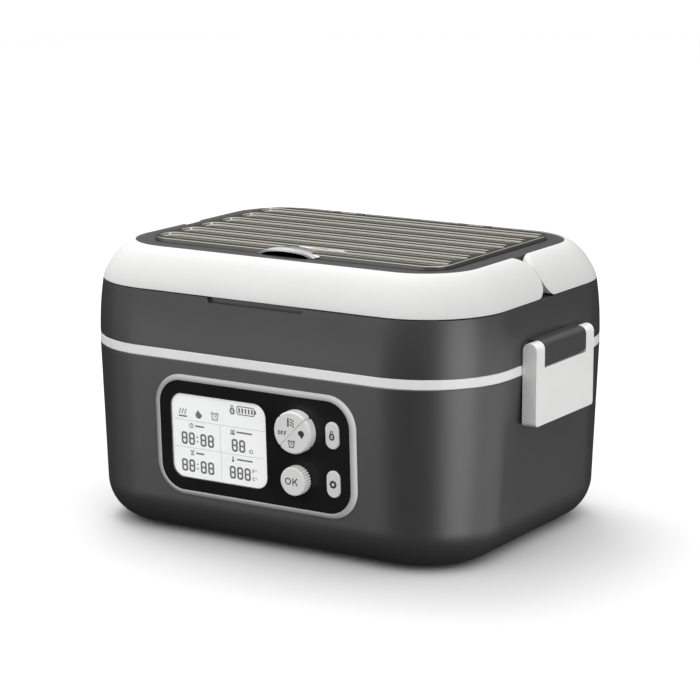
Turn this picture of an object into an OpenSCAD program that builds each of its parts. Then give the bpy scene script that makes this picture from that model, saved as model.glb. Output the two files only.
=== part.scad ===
// Battery-heated lunch box: a dark body with a control panel, a lift-off lid with a
// folding carry handle, two side latches, a cutlery bay under a ribbed cover, and a
// steel pot in a heated well. Millimetres, +Z up, +Y to the rear, floor at z = 0.

/* [Body] */
// Width of the body at its joint line
box_w = 240; // [236:1:300]
// Depth of the body at its joint line
box_d = 184.4; // [184:0.2:230]
// Corner radius of the body seen from above
corner_r = 49.2; // [46:0.2:52]
// Height of the lower shell's top edge above the floor
base_h = 95; // [94:1:125]
// Wall thickness of the moulded shells
wall = 2.8; // [2.2:0.1:3.4]
// How far each side of the lower shell leans in by its bottom
base_draft = 4.4; // [3:0.1:6]
// Width of the rounding at the foot of the lower shell
foot_round_w = 19.7; // [14:0.1:20]
// Height of the rounding at the foot of the lower shell
foot_round_h = 21.6; // [16:0.1:24]
// How far the rubber feet stand below the shell
foot_proud = 1; // [0.6:0.1:2]
// Height of the pale band at the joint line
band_h = 5.2; // [4.6:0.1:6]

/* [Lid] */
// Height of the lid's dark side wall
lid_side_h = 29; // [26:0.5:36]
// How far the lid's side wall curves in by its top
lid_lean = 2.6; // [2:0.1:3.4]
// Height of the pale handle ring
ring_h = 19.9; // [19:0.1:24]
// Width of the handle ring seen from above
ring_w = 16.4; // [15:0.1:18]
// Thickness of the ring's shell
ring_t = 6.5; // [5.5:0.1:7]
// Thickness of the dark top panel
panel_t = 2.3; // [2:0.1:3]
// Radius of the handle's round ends
hub_r = 10; // [9.8:0.1:10.4]
// Radius of the handle's pivot pins
pivot_r = 2.5; // [2:0.1:3]
// How far the handle folds up
handle_up = 90; // [80:1:90]

/* [Ribbed cover] */
// Width of the ribbed cover
cover_w = 178; // [150:1:180]
// Depth of the ribbed cover
cover_d = 120; // [110:1:122]
// Height of the cover above the top panel
cover_rise = 2.2; // [1.8:0.1:3]
// Thickness of the cover
cover_t = 3.1; // [2.8:0.1:3.6]
// Number of sunk channels between the ribs
channels = 6; // [4:1:8]
// Width of each rib
rib_w = 5.5; // [4:0.1:7]
// Depth of each channel
channel_deep = 1.5; // [1:0.1:1.6]
// Radius of the cover's hinge pins
cover_pin_r = 0.9; // [0.8:0.1:1]

/* [Latches] */
// Width of each latch across both ears
latch_w = 62.4; // [56:0.2:76]
// Thickness of each latch plate
latch_t = 8; // [7:0.1:9]
// Height of each latch's lower edge above the floor
latch_low = 69.4; // [66:0.2:74]
// Width of each ear beside the dark lug
ear_w = 8.7; // [7:0.1:10]
// Radius of the latch pins
latch_pin_r = 1.5; // [1.2:0.1:1.8]

/* [Control panel] */
// Width of the pale panel frame
bezel_w = 121.2; // [112:0.2:126]
// Height of the pale panel frame
bezel_h = 64; // [60:0.2:68]
// Corner radius of the panel frame
bezel_r = 16.5; // [12:0.5:20]
// How far the panel frame stands out
bezel_out = 1.9; // [1.4:0.1:2.6]
// Width of the frame's rim
bezel_rim = 3.2; // [2.8:0.1:4]
// Height of the panel's centre above the floor
panel_z = 56; // [54:0.5:66]
// Width of the display window
lcd_w = 58.6; // [50:0.2:60]
// Height of the display window
lcd_h = 44.8; // [38:0.2:48]
// Diameter of the selector knob
selector_d = 21.8; // [18:0.2:24]
// How far the selector knob stands out of the panel
selector_out = 5.6; // [4:0.1:7]
// Diameter of the confirm knob
ok_d = 15; // [12:0.2:17]
// How far the confirm knob stands out of the panel
ok_out = 6.2; // [5:0.1:8]
// Width of each pill button
pill_w = 7.8; // [6:0.1:9]
// Height of each pill button
pill_h = 13.9; // [11:0.1:16]
// Radius of the selector's shaft
shaft_r = 2.4; // [2:0.1:3]

/* [Pot and well] */
// Gap from the body's side to the heated well
well_side = 20; // [20:0.5:24]
// Gap from the body's front to the heated well
well_front = 32.4; // [31:0.5:40]
// Gap from the body's rear to the heated well
well_rear = 16.4; // [16:0.5:22]
// Height of the well's floor above the floor
well_floor = 30.2; // [30:0.2:36]
// Thickness of the well's sheet
well_t = 1; // [0.8:0.1:1.4]
// Thickness of the pot's sheet
pot_t = 0.8; // [0.6:0.1:1]
// Clearance between the pot and the well
pot_gap = 0.8; // [0.6:0.1:1.4]

/* [Battery] */
// Diameter of a battery cell
cell_d = 18.2; // [16:0.1:18.4]
// Length of a battery cell
cell_l = 65; // [50:1:70]

/* [Hidden] */
$fn = 48;

// Levels from the floor up
z0 = foot_proud;
z_band = base_h + band_h;
z_lid = z_band + lid_side_h;
z_ring = z_lid + ring_h;
z_panel = z_ring - 0.6;
z_seat = z_panel - panel_t;

// Running and seating clearances
gap = 0.3;
run = 0.05;

// How the corner radius shrinks: down the base, up the lid, and across the ring
base_corner_drop = 6.4;
lid_corner_drop = 4.1;
ring_corner_rate = 0.866;
corner_steps = 11;
lid_bulge = 2.2;
ring_round_z = 1.54;
ring_round_x = 1.25;

// Joint places
pivot_y = -(hub_r + 0.2);
pivot_z = (z_lid + gap + z_ring) / 2;
pivot_x = box_w / 2 - lid_lean - ring_w;
latch_x = box_w / 2 + 4.4;
latch_z = z_band + 7.6;
ear_r = latch_t / 2;
cover_y = 1;
cover_pin_y = cover_y + cover_d / 2 + 2.2;
cover_pin_z = z_panel + 0.5;
knuckle_r = 1.8;
knuckle_w = 10;
knuckle_x = 40;

// Pot and well places
well_a = box_w / 2 - well_side;
well_b = (box_d - well_front - well_rear) / 2;
well_y = (well_front - well_rear) / 2;
well_r = 30;
flange_out = 3.6;
ledge_h = 3;

// Bottom opening and its cover
opening_a = box_w / 2 - 34;
opening_b = box_d / 2 - 34.2;
opening_r = 9;
rebate = 1.6;
lap = 4;
post_a = box_w / 2 - 18.8;
post_b = box_d / 2 - 15.7;
post_r = 3;

// Panel stack, as heights out of the body's sloping front face
face_tilt = atan(base_draft / base_h);
face_y = box_d / 2 - base_draft * (base_h - panel_z) / base_h;
fascia_w = bezel_w - 2 * bezel_rim - 0.4;
fascia_h = bezel_h - 2 * bezel_rim + 0.2;
fascia_front = bezel_out - 0.2;
fascia_back = -1.6;
lcd_u = -21.4;
lcd_r = 7;
knob_u = 27.3;
pill_u = 47.7;
upper_v = 11.9;
lower_v = -13.2;
board_front = -8.2;
board_t = 1.6;
knob_gap = 0.4;
press = 0.5;

// Battery pack, filled with as many cells as the bottom opening lets in
cell_pitch = cell_d + 0.6;
cell_cols = floor((2 * opening_a - 12) / (cell_l + 3));
cell_rows = floor((2 * opening_b - 34) / cell_pitch);
cell_z = z0 + rebate + 1.4 + cell_d / 2 + 0.3;
pack_a = cell_cols * (cell_l + 3) / 2 + 2;
pack_b = cell_rows * cell_pitch / 2 + 1.5;

// Screw sizes
screw_r = 1.2;
head_r = 2.4;
head_t = 1.6;

// Colours as photographed
dark = "#4a4a4b";
pale = "#e2e2e2";
grey = "#b9babb";
black = "#1c1c1d";

// One level outline: a rectangle with round corners, counter-clockwise from above
function ring(a, b, r, z, y = 0) = [for (q = [0:3]) for (i = [0:corner_steps])
    let (t = 90 * (q + i / corner_steps), sx = (q == 0 || q == 3) ? 1 : -1, sy = q < 2 ? 1 : -1)
    [sx * (a - r) + r * cos(t), y + sy * (b - r) + r * sin(t), z]];

// The body's outline drawn in by an inset, with a chosen drop in corner radius
function outline(inset, drop, z) =
    ring(box_w / 2 - inset, box_d / 2 - inset, corner_r - drop, z);

// A solid through stacked outlines, capped at both ends or joined into a tube
module loft(rings, tube = false) {
    n = len(rings[0]);
    m = len(rings);
    last = tube ? m - 1 : m - 2;
    sides = [for (j = [0:last]) for (i = [0:n - 1])
        let (k = (j + 1) % m, a = j * n + i, b = j * n + (i + 1) % n,
             c = k * n + (i + 1) % n, d = k * n + i)
        each [[a, c, b], [a, d, c]]];
    caps = [[for (i = [0:n - 1]) i], [for (i = [n - 1:-1:0]) (m - 1) * n + i]];
    polyhedron([for (r = rings) each r], tube ? sides : concat(sides, caps), convexity = 8);
}

// A flat rectangle with true round corners, given by half sizes
module plate2d(a, b, r) {
    square([2 * a, 2 * (b - r)], center = true);
    square([2 * (a - r), 2 * b], center = true);
    for (x = [-1, 1], y = [-1, 1]) translate([x * (a - r), y * (b - r)]) circle(r);
}

// A plate of given half sizes between two levels
module plate(a, b, r, low, high, y = 0) {
    translate([0, y, low]) linear_extrude(high - low) plate2d(a, b, r);
}

// A level frame between an outer and an inner outline
module frame(a, b, r, t, low, high, y = 0) {
    translate([0, y, low]) linear_extrude(high - low) difference() {
        plate2d(a, b, r);
        plate2d(a - t, b - t, max(r - t, 1));
    }
}

// Rods along each axis
module rod_x(r, x1, x2, y, z) {
    translate([x1, y, z]) rotate([0, 90, 0]) cylinder(h = x2 - x1, r = r);
}
module rod_y(r, y1, y2, x, z) {
    translate([x, y1, z]) rotate([-90, 0, 0]) cylinder(h = y2 - y1, r = r);
}
module rod_z(r, low, high, x, y) {
    translate([x, y, low]) cylinder(h = high - low, r = r);
}

// A block given by its two corners
module block(low, high) {
    translate(low) cube(high - low);
}

// Both sides, right and left
module both_sides() {
    children();
    mirror([1, 0, 0]) children();
}

// All four corners
module corners() {
    both_sides() {
        children();
        mirror([0, 1, 0]) children();
    }
}

// Sideways across the front face, up it, and out of it
module on_face() {
    translate([0, -face_y, panel_z]) rotate([90 + face_tilt, 0, 0]) children();
}

// A plate on the front face between two heights out of it
module face_plate(a, b, r, low, high, u = 0, v = 0) {
    translate([u, v, low]) linear_extrude(high - low) plate2d(a, b, r);
}

// A disc on the front face between two heights out of it
module face_disc(r, low, high, u, v) {
    translate([u, v, low]) cylinder(h = high - low, r = r);
}

// Lower shell
function base_inset(z) = base_draft * (base_h - z) / base_h;
function base_drop(z) = base_corner_drop * (base_h - z) / base_h;
// Outlines of the rounded foot, from the flat bottom up, drawn in by a wall
function foot_rings(w) = [for (t = [90:-10:0])
    let (z = z0 + w + (foot_round_h - w) * (1 - sin(t)), k = z0 + foot_round_h,
         i = base_inset(k) + w + (foot_round_w - w) * (1 - cos(t)))
    outline(i, base_drop(k) + i - base_inset(k), z)];
function flip(v) = [for (i = [len(v) - 1:-1:0]) v[i]];

module base_shell() {
    lap_a = opening_a + lap;
    lap_b = opening_b + lap;
    color(dark) difference() {
        union() {
            loft(concat(
                [ring(lap_a + 0.2, lap_b + 0.2, opening_r + 3, z0)],
                foot_rings(0),
                [outline(base_inset(panel_z), base_drop(panel_z), panel_z),
                 outline(0, 0, base_h),
                 outline(wall, wall, base_h),
                 outline(base_inset(panel_z) + wall, base_drop(panel_z) + wall, panel_z)],
                flip(foot_rings(wall)),
                [ring(opening_a, opening_b, opening_r, z0 + wall),
                 ring(opening_a, opening_b, opening_r, z0 + rebate),
                 ring(lap_a + 0.2, lap_b + 0.2, opening_r + 3, z0 + rebate)]), tube = true);
            corners() rod_z(post_r, base_h - 17, base_h, post_a, post_b);
            corners() rod_z(3.4, z0 + rebate, 12, opening_a - 3.5, opening_b - 3.5);
        }
        on_face() face_plate(bezel_w / 2 - 1.6, bezel_h / 2 - 1.6, bezel_r - 1.6, -wall - 4, 4);
        corners() rod_z(screw_r, base_h - 14, base_h + 1, post_a, post_b);
        corners() rod_z(screw_r, z0, 10, opening_a - 3.5, opening_b - 3.5);
        both_sides() keeper_block();
        inlet_place() block([-inlet_w / 2, -20, -inlet_h / 2], [inlet_w / 2, 20, inlet_h / 2]);
    }
}

// Bottom cover, its feet and screws
foot_a = opening_a - 14;
foot_b = opening_b - 14;
module bottom_cover() {
    color(dark) difference() {
        plate(opening_a + lap, opening_b + lap, opening_r + 3, z0, z0 + rebate);
        corners() rod_z(7.2, 0, z0 + 0.8, foot_a, foot_b);
        corners() rod_z(screw_r + 0.2, 0, z0 + 3, opening_a - 3.5, opening_b - 3.5);
        corners() rod_z(head_r + 0.1, 0, z0 + 0.8, opening_a - 3.5, opening_b - 3.5);
    }
}
module rubber_feet() {
    color(black) corners() rod_z(7, 0, z0 + 0.8, foot_a, foot_b);
}
module bottom_screws() {
    color("silver") corners() {
        rod_z(head_r, z0 + 0.1, z0 + 0.8, opening_a - 3.5, opening_b - 3.5);
        rod_z(screw_r, z0 + 0.8, 9.5, opening_a - 3.5, opening_b - 3.5);
    }
}

// Pale band: a collar that closes the lower shell, carries the well and seats the lid
lip_a = box_w / 2 - 6.5;
lip_b = box_d / 2 - 6.5;
lip_r = corner_r - 6.5;
lip_h = 3;
flange_a = well_a + flange_out;
flange_b = well_b + flange_out;
flange_r = well_r + flange_out;
module collar_band() {
    edge = 0.4;
    color(grey) difference() {
        union() {
            loft([outline(edge, edge, base_h), outline(0, 0, base_h + edge),
                  outline(0, 0, z_band - edge), outline(edge, edge, z_band)]);
            frame(lip_a, lip_b, lip_r, 2, z_band - 0.5, z_band + lip_h);
        }
        plate(well_a + 0.4, well_b + 0.4, well_r + 0.4, base_h - 1, z_band + 9, well_y);
        plate(flange_a + 1, flange_b + 1, flange_r + 1, base_h + 2.2, z_band + 9, well_y);
        // Finger recesses beside the pot's flange
        both_sides() block([flange_a, well_y - 14, base_h + 2.2],
                           [flange_a + 5, well_y + 14, z_band + 9]);
        corners() rod_z(screw_r + 0.2, base_h - 1, z_band + 1, post_a, post_b);
        corners() rod_z(head_r + 0.1, z_band - head_t - 0.2, z_band + 1, post_a, post_b);
        well_screw_places() rod_z(screw_r, base_h - 1, base_h + 1.8, 0, 0);
    }
}
module collar_screws() {
    color("silver") corners() {
        rod_z(head_r, z_band - head_t - 0.2, z_band - 0.2, post_a, post_b);
        rod_z(screw_r, base_h - 12, z_band - head_t, post_a, post_b);
    }
}

// Heated well with its flange, screws, heater and sensors
module well_screw_places() {
    for (x = [-0.6, 0, 0.6], y = [-1, 1])
        translate([x * well_a, well_y + y * (well_b + 2.6), 0]) children();
}
module heating_well() {
    floor_t = 1.2;
    color("#c3c5c8") difference() {
        union() {
            plate(well_a, well_b, well_r, well_floor - floor_t, base_h, well_y);
            plate(well_a + 5, well_b + 5, well_r + 5, base_h - 1, base_h, well_y);
        }
        plate(well_a - well_t, well_b - well_t, well_r - well_t, well_floor, base_h + 1, well_y);
        well_screw_places() rod_z(screw_r + 0.1, base_h - 2, base_h + 1, 0, 0);
    }
}
module well_screws() {
    color("silver") well_screw_places() {
        rod_z(head_r - 0.2, base_h - 2.2, base_h - 1, 0, 0);
        rod_z(screw_r, base_h - 1, base_h + 1.6, 0, 0);
    }
}
heater_z = well_floor - 1.2;
heater_a = well_a - 20;
heater_b = well_b - 17;
module heater_film() {
    slots = 7;
    pitch = 2 * heater_a / (slots + 1);
    color("#8a5a34") difference() {
        plate(heater_a, heater_b, 12, heater_z - 0.8, heater_z, well_y);
        for (i = [1:slots]) {
            x = -heater_a + i * pitch;
            shift = (i % 2 == 0 ? 1 : -1) * 8;
            block([x - 1.5, well_y - heater_b + 4 + shift, heater_z - 2],
                  [x + 1.5, well_y + heater_b - 4 + shift, heater_z + 1]);
        }
        rod_z(6, heater_z - 2, heater_z + 1, pitch / 2, well_y);
    }
}
module heat_shield() {
    shield_z = cell_z + cell_d / 2 + 2;
    color("#a9abad") {
        plate(well_a - 8, well_b - 8, 22, shield_z, shield_z + 0.8, well_y);
        for (x = [-1, 1], y = [-1, 1])
            rod_z(2.5, shield_z + 0.4, heater_z, x * (heater_a + 5), well_y + y * (heater_b + 4));
    }
}
module temperature_sensor() {
    color("#d9d2c0") rod_z(3.5, heater_z - 2, heater_z, heater_a / 8, well_y);
}
module thermal_fuse() {
    fuse_x = heater_a * 3 / 8;
    color("#e6e0d0") {
        rod_x(1.2, fuse_x - 6, fuse_x + 6, well_y, heater_z - 2);
        block([fuse_x - 4, well_y - 1.2, heater_z - 2], [fuse_x + 4, well_y + 1.2, heater_z - 0.8]);
    }
}

// Battery pack standing on the bottom cover
module cell_places() {
    for (i = [0:cell_cols - 1], j = [0:cell_rows - 1])
        translate([(i - (cell_cols - 1) / 2) * (cell_l + 3),
                   (j - (cell_rows - 1) / 2) * cell_pitch, cell_z]) children();
}
module battery_holder() {
    low = z0 + rebate;
    color("#2d3033") difference() {
        block([-pack_a, -pack_b, low], [pack_a, pack_b, cell_z]);
        cell_places() rod_x(cell_d / 2 + 0.2, -cell_l / 2 - 0.6, cell_l / 2 + 0.6, 0, 0);
    }
}
module battery_cells() {
    color("#3b7fb5") cell_places() {
        rod_x(cell_d / 2, -cell_l / 2, cell_l / 2 - 1, 0, 0);
        rod_x(cell_d / 4, cell_l / 2 - 1.2, cell_l / 2, 0, 0);
    }
}
module cell_tabs() {
    color("#d0d0cc") cell_places()
        for (x = [-cell_l / 2 - 0.4, cell_l / 2])
            block([x, -3.5, 0.2], [x + 0.4, 3.5, 6]);
}
module battery_board() {
    color("#1d6b3a") {
        block([pack_a, -24, z0 + rebate + 1], [pack_a + 1.6, 24, cell_z + 6]);
        for (y = [-16, 0, 14])
            block([pack_a + 1.5, y - 4, cell_z - 3], [pack_a + 3, y + 4, cell_z + 3]);
    }
}

// Charging inlet in the rear wall, a round socket
inlet_w = 15;
inlet_h = 12;
inlet_x = -55;
inlet_z = 38;
inlet_r = 2.85;
inlet_deep = 9;
module inlet_place() {
    y = box_d / 2 - base_inset(inlet_z) - 1.2;
    translate([inlet_x, y, inlet_z]) children();
}
module charge_inlet() {
    flange = 1.4;
    color(black) inlet_place() difference() {
        union() {
            block([-inlet_w / 2 + 0.1, -12, -inlet_h / 2 + 0.1],
                  [inlet_w / 2 - 0.1, 0, inlet_h / 2 - 0.1]);
            block([-inlet_w / 2 - 2, 0.8 - wall - flange, -inlet_h / 2 - 2],
                  [inlet_w / 2 + 2, 0.8 - wall, inlet_h / 2 + 2]);
        }
        rod_y(inlet_r, -inlet_deep, 1, 0, 0);
    }
}

// Wires clipped inside the body: display board to battery board, inlet and heater
module wire(points, r) {
    for (i = [0:len(points) - 2]) {
        step = points[i + 1] - points[i];
        long = norm(step);
        translate(points[i])
            rotate([0, acos(step[2] / long), atan2(step[1], step[0])])
                cylinder(h = long, r = r, $fn = 24);
    }
    for (i = [1:len(points) - 2]) translate(points[i]) sphere(r * 1.02, $fn = 24);
}
module wire_harness() {
    plug_z = panel_z - 16;
    board_y = -face_y + (panel_z - plug_z) * base_draft / base_h - board_front + board_t + 0.06;
    side_x = pack_a + 3;
    rear_y = box_d / 2 - 12;
    color("#b33a2e") wire([[side_x, -16, cell_z], [side_x + 5, -16, cell_z],
        [side_x + 5, -opening_b - 12, cell_z + 4], [side_x - 30, -opening_b - 12, cell_z + 8],
        [30, board_y + 4, plug_z - 2], [30, board_y + 3, plug_z], [30, board_y, plug_z]], 1.1);
    color("#26282b") wire([[side_x, 14, cell_z], [side_x + 5, 14, cell_z],
        [side_x + 5, opening_b + 6, cell_z + 3], [inlet_x, opening_b + 10, cell_z + 3],
        [inlet_x, rear_y, cell_z + 12], [inlet_x, rear_y, inlet_z - inlet_h / 2 + 0.1]], 1.1);
}

// Latch keepers: strike plates seated in the lower shell's sides
keeper_low = latch_low + 7.2;
module keeper_block() {
    block([box_w / 2 - 2.1, -18, keeper_low], [box_w / 2 + 0.2, 18, keeper_low + 7]);
}
module latch_keepers() {
    color("#8f9194") both_sides() keeper_block();
}

// Pale frame of the control panel
module panel_bezel() {
    inner_a = bezel_w / 2 - bezel_rim;
    inner_b = bezel_h / 2 - bezel_rim + 0.3;
    color(pale) on_face() difference() {
        union() {
            face_plate(bezel_w / 2, bezel_h / 2, bezel_r, 0.05, bezel_out - 0.8);
            face_plate(bezel_w / 2 - 0.4, bezel_h / 2 - 0.4, bezel_r - 0.4, 0.5, bezel_out - 0.3);
            face_plate(bezel_w / 2 - 1, bezel_h / 2 - 1, bezel_r - 1, 0.5, bezel_out);
            face_plate(bezel_w / 2 - 1.8, bezel_h / 2 - 1.8, bezel_r - 1.8, -4, 0.5);
        }
        face_plate(inner_a, inner_b, bezel_r - bezel_rim, -5, 5);
    }
}

// Black front plate with its window, shaft holes and screw bosses
module panel_fascia() {
    a = fascia_w / 2;
    b = fascia_h / 2;
    color(black) on_face() difference() {
        union() {
            face_plate(a, b, bezel_r - bezel_rim - 0.2, fascia_back, fascia_front);
            fascia_bosses() cylinder(h = fascia_back - board_front + 0.5, r = 2.4);
        }
        face_plate(lcd_w / 2, lcd_h / 2, lcd_r, -3, 3, lcd_u);
        face_disc(shaft_r + 1.6, -3, 3, knob_u, upper_v);
        face_disc(shaft_r + 1.2, -3, 3, knob_u, lower_v);
        for (v = [upper_v, lower_v])
            face_plate(pill_w / 2 + gap, pill_h / 2 + gap, pill_w / 2 + gap - 0.01, -3, 3, pill_u, v);
        fascia_bosses() translate([0, 0, -1]) cylinder(h = 7, r = screw_r);
    }
}
module fascia_bosses() {
    a = fascia_w / 2 - 3.4;
    b = fascia_h / 2 - 4.4;
    for (p = [[-a, 15], [-a, -15], [13.5, b], [13.5, -b], [a, -0.7]])
        translate([p[0], p[1], board_front]) children();
}
module board_screws() {
    color("silver") on_face() fascia_bosses() {
        translate([0, 0, -board_t - head_t]) cylinder(h = head_t, r = head_r);
        translate([0, 0, -board_t]) cylinder(h = board_t + 5, r = screw_r);
    }
}

// Display: clear lens, glass and its backlight
module display_lens() {
    color("#eceeed") on_face()
        face_plate(lcd_w / 2 - 0.1, lcd_h / 2 - 0.1, lcd_r - 0.1, 0.7, fascia_front - 0.2, lcd_u);
}
module display_module() {
    color("#cfd2d1") on_face()
        face_plate(lcd_w / 2 - 0.2, lcd_h / 2 - 0.2, lcd_r - 0.2, -3.6, 0.7, lcd_u);
}
module display_backlight() {
    color("#f4f4ee") on_face()
        face_plate(lcd_w / 2 - 1, lcd_h / 2 - 1, 2, board_front, -3.6, lcd_u);
}

// Control board with its chips
module control_board() {
    low = board_front - board_t;
    color("#1d6b3a") on_face() difference() {
        union() {
            face_plate(fascia_w / 2 - 1, fascia_h / 2 - 1, 6, low, board_front);
            face_plate(6, 6, 0.5, low - 1.4, low, -20, 4);
            face_plate(9, 4, 0.5, low - 6, low, 8, -18);
            face_disc(5, low - 5, low, -40, 12);
        }
        fascia_bosses() translate([0, 0, -board_t - 1]) cylinder(h = board_t + 2, r = screw_r + 0.2);
    }
}

// Selector: rotary switch, shaft and knob
module rotary_switch() {
    color("#3a3c3f") on_face() difference() {
        union() {
            face_plate(7, 7, 1, board_front, fascia_back - 0.4, knob_u, upper_v);
            face_disc(shaft_r + 1.3, fascia_back - 0.5, fascia_front - 0.3, knob_u, upper_v);
        }
        face_disc(shaft_r + run, board_front + 0.6, 5, knob_u, upper_v);
    }
}
module selector_shaft() {
    color("#c9cacc") on_face()
        face_disc(shaft_r, board_front + 0.9, fascia_front + selector_out - 1.6, knob_u, upper_v);
}
module selector_knob() {
    low = fascia_front + knob_gap;
    high = fascia_front + selector_out;
    r = selector_d / 2;
    color(pale) on_face() difference() {
        union() {
            face_disc(r, low, high - 0.7, knob_u, upper_v);
            translate([knob_u, upper_v, high - 0.7]) cylinder(h = 0.7, r1 = r, r2 = r - 0.7);
        }
        face_disc(shaft_r, low - 1, high - 1.6, knob_u, upper_v);
        // Crossed grooves that part the face into four settings
        for (t = [45, 135]) translate([knob_u, upper_v, high]) rotate([0, 0, t])
            cube([selector_d + 2, 0.8, 0.6], center = true);
        // Notches in the rim at the groove ends
        for (t = [45:90:315])
            face_disc(0.8, low - 1, high + 1, knob_u + r * cos(t), upper_v + r * sin(t));
    }
}

// Confirm knob: push-and-turn encoder, its plunger and shaft
ok_shaft_r = 2;
plunger_front = board_front + 2;
module encoder_body() {
    color("#3a3c3f") on_face() difference() {
        union() {
            face_plate(6, 6, 1, board_front, -2.7, knob_u, lower_v);
            face_disc(ok_shaft_r + 1.2, -3, fascia_front - 0.3, knob_u, lower_v);
        }
        face_disc(3.5, board_front + 0.2, board_front + 2.6, knob_u, lower_v);
        face_disc(ok_shaft_r + run, board_front + 1, 5, knob_u, lower_v);
    }
}
module encoder_plunger() {
    color("#d8b25a") on_face()
        face_disc(3.2, plunger_front - 0.8, plunger_front, knob_u, lower_v);
}
module encoder_shaft() {
    color("#c9cacc") on_face()
        face_disc(ok_shaft_r, plunger_front, fascia_front + ok_out - 1.6, knob_u, lower_v);
}
module ok_knob() {
    low = fascia_front + knob_gap + press;
    high = fascia_front + ok_out;
    r = ok_d / 2;
    teeth = 36;
    color(pale) on_face() difference() {
        union() {
            face_disc(r, low, high - 0.5, knob_u, lower_v);
            translate([knob_u, lower_v, high - 0.5]) cylinder(h = 0.5, r1 = r, r2 = r - 0.5);
        }
        face_disc(ok_shaft_r, low - 1, high - 1.6, knob_u, lower_v);
        for (i = [0:teeth - 1]) let (t = 360 * i / teeth)
            translate([knob_u + r * cos(t), lower_v + r * sin(t), low - 1])
                cylinder(h = high - low + 0.4, r = 0.32, $fn = 16);
    }
}

// Pill buttons with their flanges and stems, over two push switches
module pill_button(v) {
    a = pill_w / 2;
    b = pill_h / 2;
    back = fascia_back - 0.2;
    on_face() {
        face_plate(a, b, a - 0.01, back - 0.5, fascia_front + 0.5, pill_u, v);
        face_plate(a - 0.3, b - 0.3, a - 0.31, 0, fascia_front + 0.8, pill_u, v);
        face_plate(a + 1.1, b + 1.1, a + 1.09, back - 1, back, pill_u, v);
        face_disc(1.5, tact_front + press + 0.1, back - 0.5, pill_u, v);
    }
}
tact_front = board_front + 2.3;
module lock_button() {
    color(pale) pill_button(upper_v);
}
module settings_button() {
    color(pale) pill_button(lower_v);
}
module tact_switches() {
    color("#2f3133") on_face() for (v = [upper_v, lower_v])
        face_plate(3, 3, 0.4, board_front, tact_front, pill_u, v);
}

// Steel pot hanging in the well, with its sealed lid
pot_a = well_a - well_t - pot_gap;
pot_b = well_b - well_t - pot_gap;
pot_r = well_r - well_t - pot_gap;
rim_z = base_h + 2.5;
pot_lean = 2;
pot_round = 8;
function pot_foot(t) = [for (u = [90:-18:0])
    let (i = t + pot_lean + (pot_round - t) * (1 - cos(u)))
    ring(pot_a - i, pot_b - i, pot_r - i, well_floor + t + (pot_round - t) * (1 - sin(u)), well_y)];
module inner_pot() {
    color("#cfd1d3") loft(concat(pot_foot(0),
        [ring(pot_a, pot_b, pot_r, rim_z, well_y),
         ring(flange_a, flange_b, flange_r, rim_z, well_y),
         ring(flange_a, flange_b, flange_r, rim_z + pot_t, well_y),
         ring(pot_a - pot_t, pot_b - pot_t, pot_r - pot_t, rim_z + pot_t, well_y)],
        flip(pot_foot(pot_t))));
}
lid_plate_z = rim_z + pot_t;
plug_a = pot_a - pot_t - 3.4;
plug_b = pot_b - pot_t - 3.4;
plug_r = pot_r - pot_t - 3.4;
seal_low = lid_plate_z - 4.4;
vent_x = 55;
module pot_lid() {
    color("#dfe1e2") difference() {
        union() {
            plate(flange_a - 0.8, flange_b - 0.8, flange_r - 0.8, lid_plate_z, lid_plate_z + 1.6, well_y);
            plate(plug_a, plug_b, plug_r, lid_plate_z - 5, lid_plate_z + 3, well_y);
        }
        plate(plug_a - 1.6, plug_b - 1.6, plug_r - 1.6, lid_plate_z - 6, lid_plate_z + 1, well_y);
        plate(plug_a - 6, plug_b - 6, plug_r - 6, lid_plate_z + 2.2, lid_plate_z + 4, well_y);
        rod_z(5.6, lid_plate_z - 1, lid_plate_z + 5, vent_x, well_y);
    }
}
module pot_seal() {
    color("#9fb7c4") frame(plug_a + 3.1, plug_b + 3.1, plug_r + 3.1, 3.1,
        seal_low, seal_low + 3, well_y);
}
module vent_plug() {
    color("#9fb7c4") {
        rod_z(5.2, lid_plate_z + 0.6, lid_plate_z + 3, vent_x, well_y);
        rod_z(6.6, lid_plate_z + 2.5, lid_plate_z + 3.9, vent_x, well_y);
    }
}

// Ring section: how far in and how high the outer face is, by angle
function ring_in(t) = ring_w * (1 - pow(cos(t), ring_round_x));
function ring_up(t) = z_lid + ring_h * pow(sin(t), ring_round_z);
function ring_drop(i) = lid_corner_drop + ring_corner_rate * i;

// Finger recess in the front of the lid, half its width and its height
grip_half = 28;
grip_deep = 2.8;

// Lid side wall outlines from the joint line up, drawn in by a wall
function side_rings(w) = [for (k = [0:0.2:1])
    let (s = pow(k, lid_bulge))
    outline(lid_lean * s + w, lid_corner_drop * s + w, z_band + (lid_side_h - w) * k)];
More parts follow.
